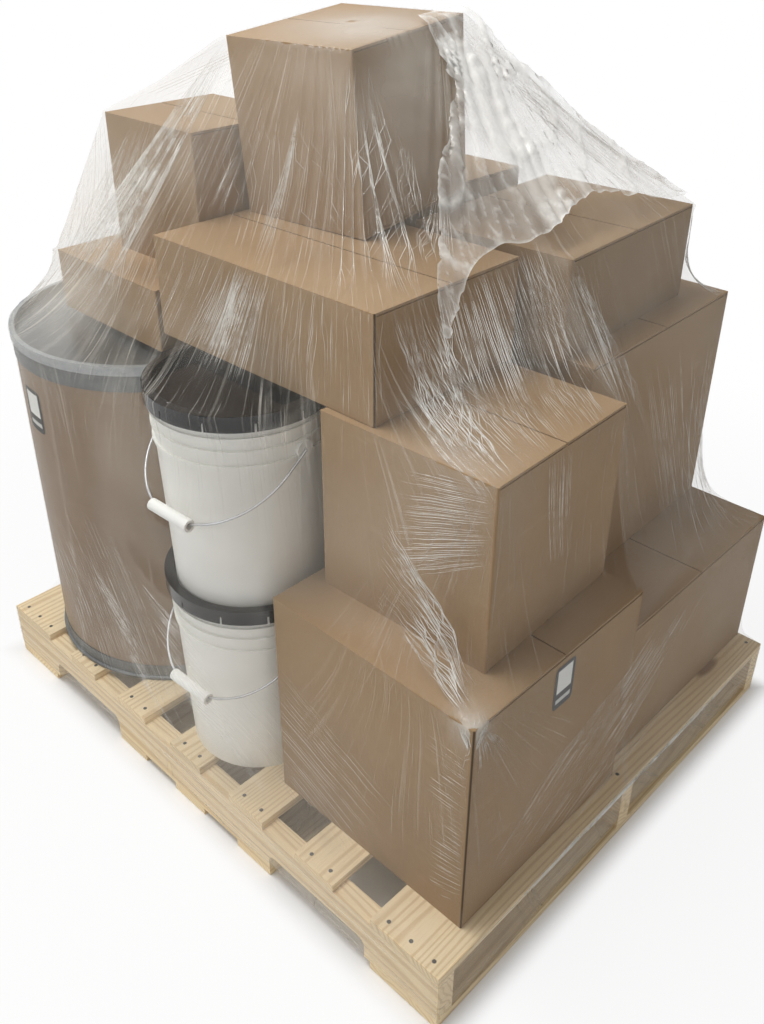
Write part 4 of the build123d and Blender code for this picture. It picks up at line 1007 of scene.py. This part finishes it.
def outlineRun(outline, spacing):
    # closely spaced points round a smoothed outline
    corners = np.array(outline)
    points = []
    for count in range(len(corners)):
        before, here, after, beyond = [corners[(count + step) % len(corners)] for step in (-1, 0, 1, 2)]
        steps = max(2, int(np.linalg.norm(after - here) / spacing))
        for step in range(steps):
            t = step / steps
            points.append(
                0.5 * ((2 * here) + (after - before) * t + (2 * before - 5 * here + 4 * after - beyond) * t * t
                       + (3 * here - before - 3 * after + beyond) * t ** 3)
            )
    return np.array(points)


def flapPiece():
    rim = outlineRun(flapLook["outline"], flapLook["spacing"])
    low, high = rim.min(0), rim.max(0)
    across = np.arange(low[0], high[0], flapLook["spacing"])
    upward = np.arange(low[1], high[1], flapLook["spacing"])
    grid = np.array([(x + (row % 2) * flapLook["spacing"] / 2, y) for row, y in enumerate(upward) for x in across])
    flat = [Vector(point) for point in np.concatenate([rim, grid])]
    loop = [(count, (count + 1) % len(rim)) for count in range(len(rim))]
    placed, edges, faces, *rest = geometry.delaunay_2d_cdt(flat, loop, [], 1, 1e-6)
    tree = BVHTree.FromPolygons(
        [vertex.co.copy() for vertex in stretchFilm.data.vertices],
        [tuple(face.vertices) for face in stretchFilm.data.polygons],
    )
    start, end, half = flapLook["band"]
    start, end = np.array(start), np.array(end)
    run = (end - start) / np.linalg.norm(end - start)
    side = np.array([-run[1], run[0]])
    points, looks = [], []
    for point in placed:
        flatPlace = np.array(point)
        hit, normal, face, gap = tree.ray_cast(Vector((point.x, point.y, 2.0)), Vector((0, 0, -1)))
        if normal.z < 0:
            normal = -normal
        rimGap = float(np.min(np.linalg.norm(rim - flatPlace, axis=1)))
        seat = Vector((point.x * 11, point.y * 11, flapLook["seed"]))
        ridge = 1 - abs(noise.noise(seat) * 2)
        seat = Vector((point.x * 24, point.y * 58, flapLook["seed"] + 4))
        crinkle = 1 - abs(noise.noise(seat) * 2.4)
        offset = float((flatPlace - start) @ side)
        along = float((flatPlace - start) @ run)
        inBand = math.exp(-((offset / half) ** 4)) if -0.03 < along < np.linalg.norm(end - start) + 0.03 else 0.0
        bubbles = math.exp(-(((offset - half) / 0.010) ** 2)) * (0.5 + 0.5 * math.sin(along * 260 + 2 * math.sin(along * 71)))
        free = min(1.0, rimGap / 0.03)
        height = flapLook["lift"] + flapLook["crumple"] * (
            0.55 * max(0.0, ridge) ** 3 + 0.35 * max(0.0, crinkle) ** 3 * (0.4 + 0.6 * free)
        ) + 0.006 * bubbles * inBand + 0.004 * (1 - free)
        points.append(hit + normal * height)
        # crests of the crumples and the bubble line get painted highlights; the last two millimetres inside the outline
        # are whiter, partly its rolled edge and partly a painted edge highlight
        paintedShine = max(0.0, ridge) ** 6 * 0.8 + max(0.0, crinkle) ** 6 * 0.6
        looks.append((inBand, min(1.0, paintedShine + bubbles * 0.7), math.exp(-((rimGap / 0.0022) ** 2))))
    mesh = bpy.data.meshes.new("looseFlap")
    mesh.from_pydata([tuple(point) for point in points], [], [tuple(face) for face in faces])
    mesh.shade_smooth()
    piece = bpy.data.objects.new("looseFlap", mesh)
    bpy.context.scene.collection.objects.link(piece)
    if sum(face.normal.z for face in mesh.polygons) < 0:
        mesh.flip_normals()
    addField(piece, "milkAndShine", np.array(looks))
    return piece


def flapPlastic():
    bench = Bench("flapPlastic")
    milkAndShine = bench.axes(bench.node("ShaderNodeAttribute", {"attribute_name": "milkAndShine"}, output="Vector"))
    cloud = bench.noise(bench.place(), 12, 5, 0.65).span(0.35, 0.7)
    # the three parts of the attribute: the milky band, painted highlights on the crumples, and the whiter rim, partly
    # real roll and partly painted edge highlight
    alpha = 0.14 + cloud * 0.14 + milkAndShine[0] * (0.40 + cloud * 0.15) + milkAndShine[1] * 0.50 + milkAndShine[2] * 0.35
    return bench.finish(
        Base_Color=tint(250, 248, 242), Roughness=0.2 + cloud * 0.1, Alpha=alpha.lowest(0.92),
        Normal=bench.bump(cloud, 0.002, 0.4), IOR=1.5,
    )


looseFlap = flapPiece()
looseFlap.data.materials.append(flapPlastic())
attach(looseFlap, "root")
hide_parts("top_sheet")


# Blank paper labels

labelLook = {
    "paper": (236, 236, 232),
    "ink": (34, 33, 33),
    "thickness": 0.0004,
    # how square its corners are: 2 is an ellipse, more is squarer
    "squareness": 9.0,
    "cells": 14,
}


def paperLabel(name, corner, right, up, bend=None):
    # corner is its lower left corner; bend is the axis of the round wall that it is stuck to
    corner, right, up = [np.array(part, float) for part in (corner, right, up)]
    cells = labelLook["cells"]
    outward = np.cross(right, up)
    outward = outward / np.linalg.norm(outward)
    mesh = bpy.data.meshes.new(name)
    form = bmesh.new()
    layer = form.loops.layers.uv.new("labelPlace")
    places = {}
    rows = []
    for row in range(cells + 1):
        line = []
        for column in range(cells + 1):
            u, v = column / cells * 2 - 1, row / cells * 2 - 1
            # pulls the square's corners in to a rounded rectangle
            power = labelLook["squareness"]
            size = (abs(u) ** power + abs(v) ** power) ** (1 / power)
            most = max(abs(u), abs(v))
            scale = most / size if size > 1e-9 else 1.0
            u, v = (u * scale + 1) / 2, (v * scale + 1) / 2
            point = corner + right * u + up * v
            if bend is not None:
                away = point[:2] - np.array(bend[:2])
                point[:2] = np.array(bend[:2]) + away / np.linalg.norm(away) * bend[2]
                lift = np.array([*(away / np.linalg.norm(away)), 0.0])
            else:
                lift = outward
            vertex = form.verts.new(point + lift * labelLook["thickness"])
            places[vertex] = (u, v)
            line.append(vertex)
        rows.append(line)
    for row in range(cells):
        for column in range(cells):
            face = form.faces.new((rows[row][column], rows[row][column + 1], rows[row + 1][column + 1], rows[row + 1][column]))
            for loop in face.loops:
                loop[layer].uv = places[loop.vert]
    form.to_mesh(mesh)
    form.free()
    piece = bpy.data.objects.new(name, mesh)
    bpy.context.scene.collection.objects.link(piece)
    mesh.materials.append(labelPaper)
    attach(piece, "root")
    return piece


def labelPaperLook():
    # a plain dark frame round a blank square, with a blank strip under it
    bench = Bench("labelPaper")
    u, v, w = bench.axes(bench.node("ShaderNodeUVMap", {"uv_map": "labelPlace"}))
    square = (u.span(0.12, 0.15) * (1 - u.span(0.85, 0.88))) * (v.span(0.36, 0.38) * (1 - v.span(0.90, 0.92)))
    strip = (u.span(0.12, 0.15) * (1 - u.span(0.85, 0.88))) * (v.span(0.12, 0.14) * (1 - v.span(0.22, 0.24)))
    dust = bench.noise(bench.place(), 300, 3, 0.6)
    paper = bench.blend(dust * 0.2, tint(*labelLook["paper"]), tint(200, 200, 196))
    ink = bench.blend(dust * 0.3, tint(*labelLook["ink"]), tint(70, 70, 70))
    return bench.finish(Base_Color=bench.blend(square.highest(strip * 0.7), ink, paper), Roughness=0.5 + dust * 0.1)


labelPaper = labelPaperLook()
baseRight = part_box("carton_near_base")[1].x
paperLabel("baseLabel", (baseRight, -0.238, 0.432), (0, 0.050, 0), (0, 0, 0.082))
drumRadius = (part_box("drum_body")[1].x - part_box("drum_body")[0].x) / 2
drumAxis = ((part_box("drum_body")[0].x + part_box("drum_body")[1].x) / 2, (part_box("drum_body")[0].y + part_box("drum_body")[1].y) / 2)
labelTurn = math.radians(264)
labelSide = np.array([-math.sin(labelTurn), math.cos(labelTurn), 0]) * 0.058
labelFoot = np.array([
    drumAxis[0] + math.cos(labelTurn) * drumRadius, drumAxis[1] + math.sin(labelTurn) * drumRadius, 0.630
])
paperLabel("drumLabel", labelFoot - labelSide / 2, labelSide, (0, 0, 0.084), bend=(*drumAxis, drumRadius))
print("labels made")


# Studio

studio = {
    "floorSize": 60.0,
    "floorColour": (244, 244, 244),
    "floorSeen": 0.88,
    "whiteFrom": 0.15,
    "whiteTo": 1.6,
    "worldLight": 0.33,
    "lamps": [
        {"name": "overheadLamp", "at": (-0.6, -0.8, 3.4), "aim": (0, 0, 0.6), "size": (1.6, 0.9), "power": 58},
        {"name": "frontLamp", "at": (-0.4, -3.4, 2.4), "aim": (0, 0, 0.5), "size": (1.4, 1.4), "power": 20},
        {"name": "rightLamp", "at": (3.0, 1.4, 2.4), "aim": (0, 0, 0.7), "size": (1.0, 1.6), "power": 2},
    ],
}

floorMesh = bpy.data.meshes.new("studioFloor")
half = studio["floorSize"] / 2
floorMesh.from_pydata([(-half, -half, 0), (half, -half, 0), (half, half, 0), (-half, half, 0)], [], [(0, 1, 2, 3)])
studioFloor = bpy.data.objects.new("studioFloor", floorMesh)
studioFloor.location.z = -0.0005
bpy.context.scene.collection.objects.link(studioFloor)
floorBench = Bench("floorPaper")
paper = floorBench.noise(floorBench.place(), 2, 2, 0.5)
floorX, floorY, floorZ = floorBench.axes(floorBench.node("ShaderNodeTexCoord", output="Object"))
# how far outside the pallet: the floor under it takes no white of its own, so that its gaps stay dark
deckLow, deckHigh = palletSides[0][1] * -1, palletSides[1][1]
deckFront, deckBack = palletSides[2][1] * -1, palletSides[3][1]
beside = abs(floorX - (deckLow + deckHigh) / 2) - (deckHigh - deckLow) / 2
behind = abs(floorY - (deckFront + deckBack) / 2) - (deckBack - deckFront) / 2
away = beside.highest(behind)
nearWhite = away.span(-0.01, 0.05) * studio["floorSeen"]
white = nearWhite + away.span(studio["whiteFrom"], studio["whiteTo"]) * (1 - studio["floorSeen"])
path = floorBench.node("ShaderNodeLightPath", output="Is Camera Ray")
mirror = floorBench.node("ShaderNodeLightPath", output="Is Glossy Ray")
through = floorBench.node("ShaderNodeLightPath", output="Is Transmission Ray")
floorShade = floorBench.node("ShaderNodeBsdfPrincipled", {}, {
    "Base Color": floorBench.blend(paper, tint(*studio["floorColour"]), tint(250, 250, 250)), "Roughness": 0.9,
})
floorGlow = floorBench.node("ShaderNodeEmission", {}, {"Color": (1, 1, 1, 1), "Strength": 1.0})
floorMix = floorBench.node(
    "ShaderNodeMixShader", {}, {0: white * path.highest(mirror).highest(through), 1: floorShade, 2: floorGlow}
)
floorBench.node("ShaderNodeOutputMaterial", {}, {"Surface": floorMix})
floorMesh.materials.append(floorBench.material)

world = bpy.data.worlds.new("studioWorld")
bpy.context.scene.world = world
world.use_nodes = True
sky = world.node_tree
sky.nodes.clear()
seen = sky.nodes.new("ShaderNodeLightPath")
either = sky.nodes.new("ShaderNodeMath")
either.operation = "MAXIMUM"
sky.links.new(seen.outputs["Is Camera Ray"], either.inputs[0])
sky.links.new(seen.outputs["Is Glossy Ray"], either.inputs[1])
strength = sky.nodes.new("ShaderNodeMapRange")
strength.inputs["To Min"].default_value = studio["worldLight"]
strength.inputs["To Max"].default_value = 1.0
sky.links.new(either.outputs[0], strength.inputs["Value"])
backdrop = sky.nodes.new("ShaderNodeBackground")
backdrop.inputs["Color"].default_value = (1, 1, 1, 1)
sky.links.new(strength.outputs[0], backdrop.inputs["Strength"])
worldOut = sky.nodes.new("ShaderNodeOutputWorld")
sky.links.new(backdrop.outputs[0], worldOut.inputs["Surface"])

for lamp in studio["lamps"]:
    light = bpy.data.lights.new(lamp["name"], "AREA")
    light.shape = "RECTANGLE"
    light.size, light.size_y = lamp["size"]
    light.energy = lamp["power"]
    holder = bpy.data.objects.new(lamp["name"], light)
    holder.location = lamp["at"]
    holder.rotation_euler = (Vector(lamp["aim"]) - Vector(lamp["at"])).to_track_quat("-Z", "Y").to_euler()
    bpy.context.scene.collection.objects.link(holder)

view = {
    "at": (1.1452, -1.1900, 1.4947),
    "azimuth": 43.828,
    "elevation": 29.754,
    "roll": 0.317,
    "focalPixels": 994.8,
    "principalRow": 448.7,
    "framePixels": (764, 1024),
}
azimuth, elevation, roll = [math.radians(view[key]) for key in ("azimuth", "elevation", "roll")]
back = Vector((math.sin(azimuth) * math.cos(elevation), -math.cos(azimuth) * math.cos(elevation), math.sin(elevation)))
level = Vector((math.cos(azimuth), math.sin(azimuth), 0))
upright = back.cross(level)
rightward = level * math.cos(roll) + upright * math.sin(roll)
upward = upright * math.cos(roll) - level * math.sin(roll)
camera = bpy.data.cameras.new("photoCamera")
camera.sensor_width = 36.0
camera.lens = view["focalPixels"] / view["framePixels"][1] * camera.sensor_width
camera.shift_y = (view["principalRow"] - view["framePixels"][1] / 2) / view["framePixels"][1]
camera.clip_start, camera.clip_end = 0.05, 60
holder = bpy.data.objects.new("photoCamera", camera)
turned = Matrix((rightward, upward, back)).transposed().to_4x4()
holder.matrix_world = Matrix.Translation(view["at"]) @ turned
bpy.context.scene.collection.objects.link(holder)
bpy.context.scene.camera = holder
bpy.context.scene.view_settings.view_transform = "Standard"
print("studio ready")
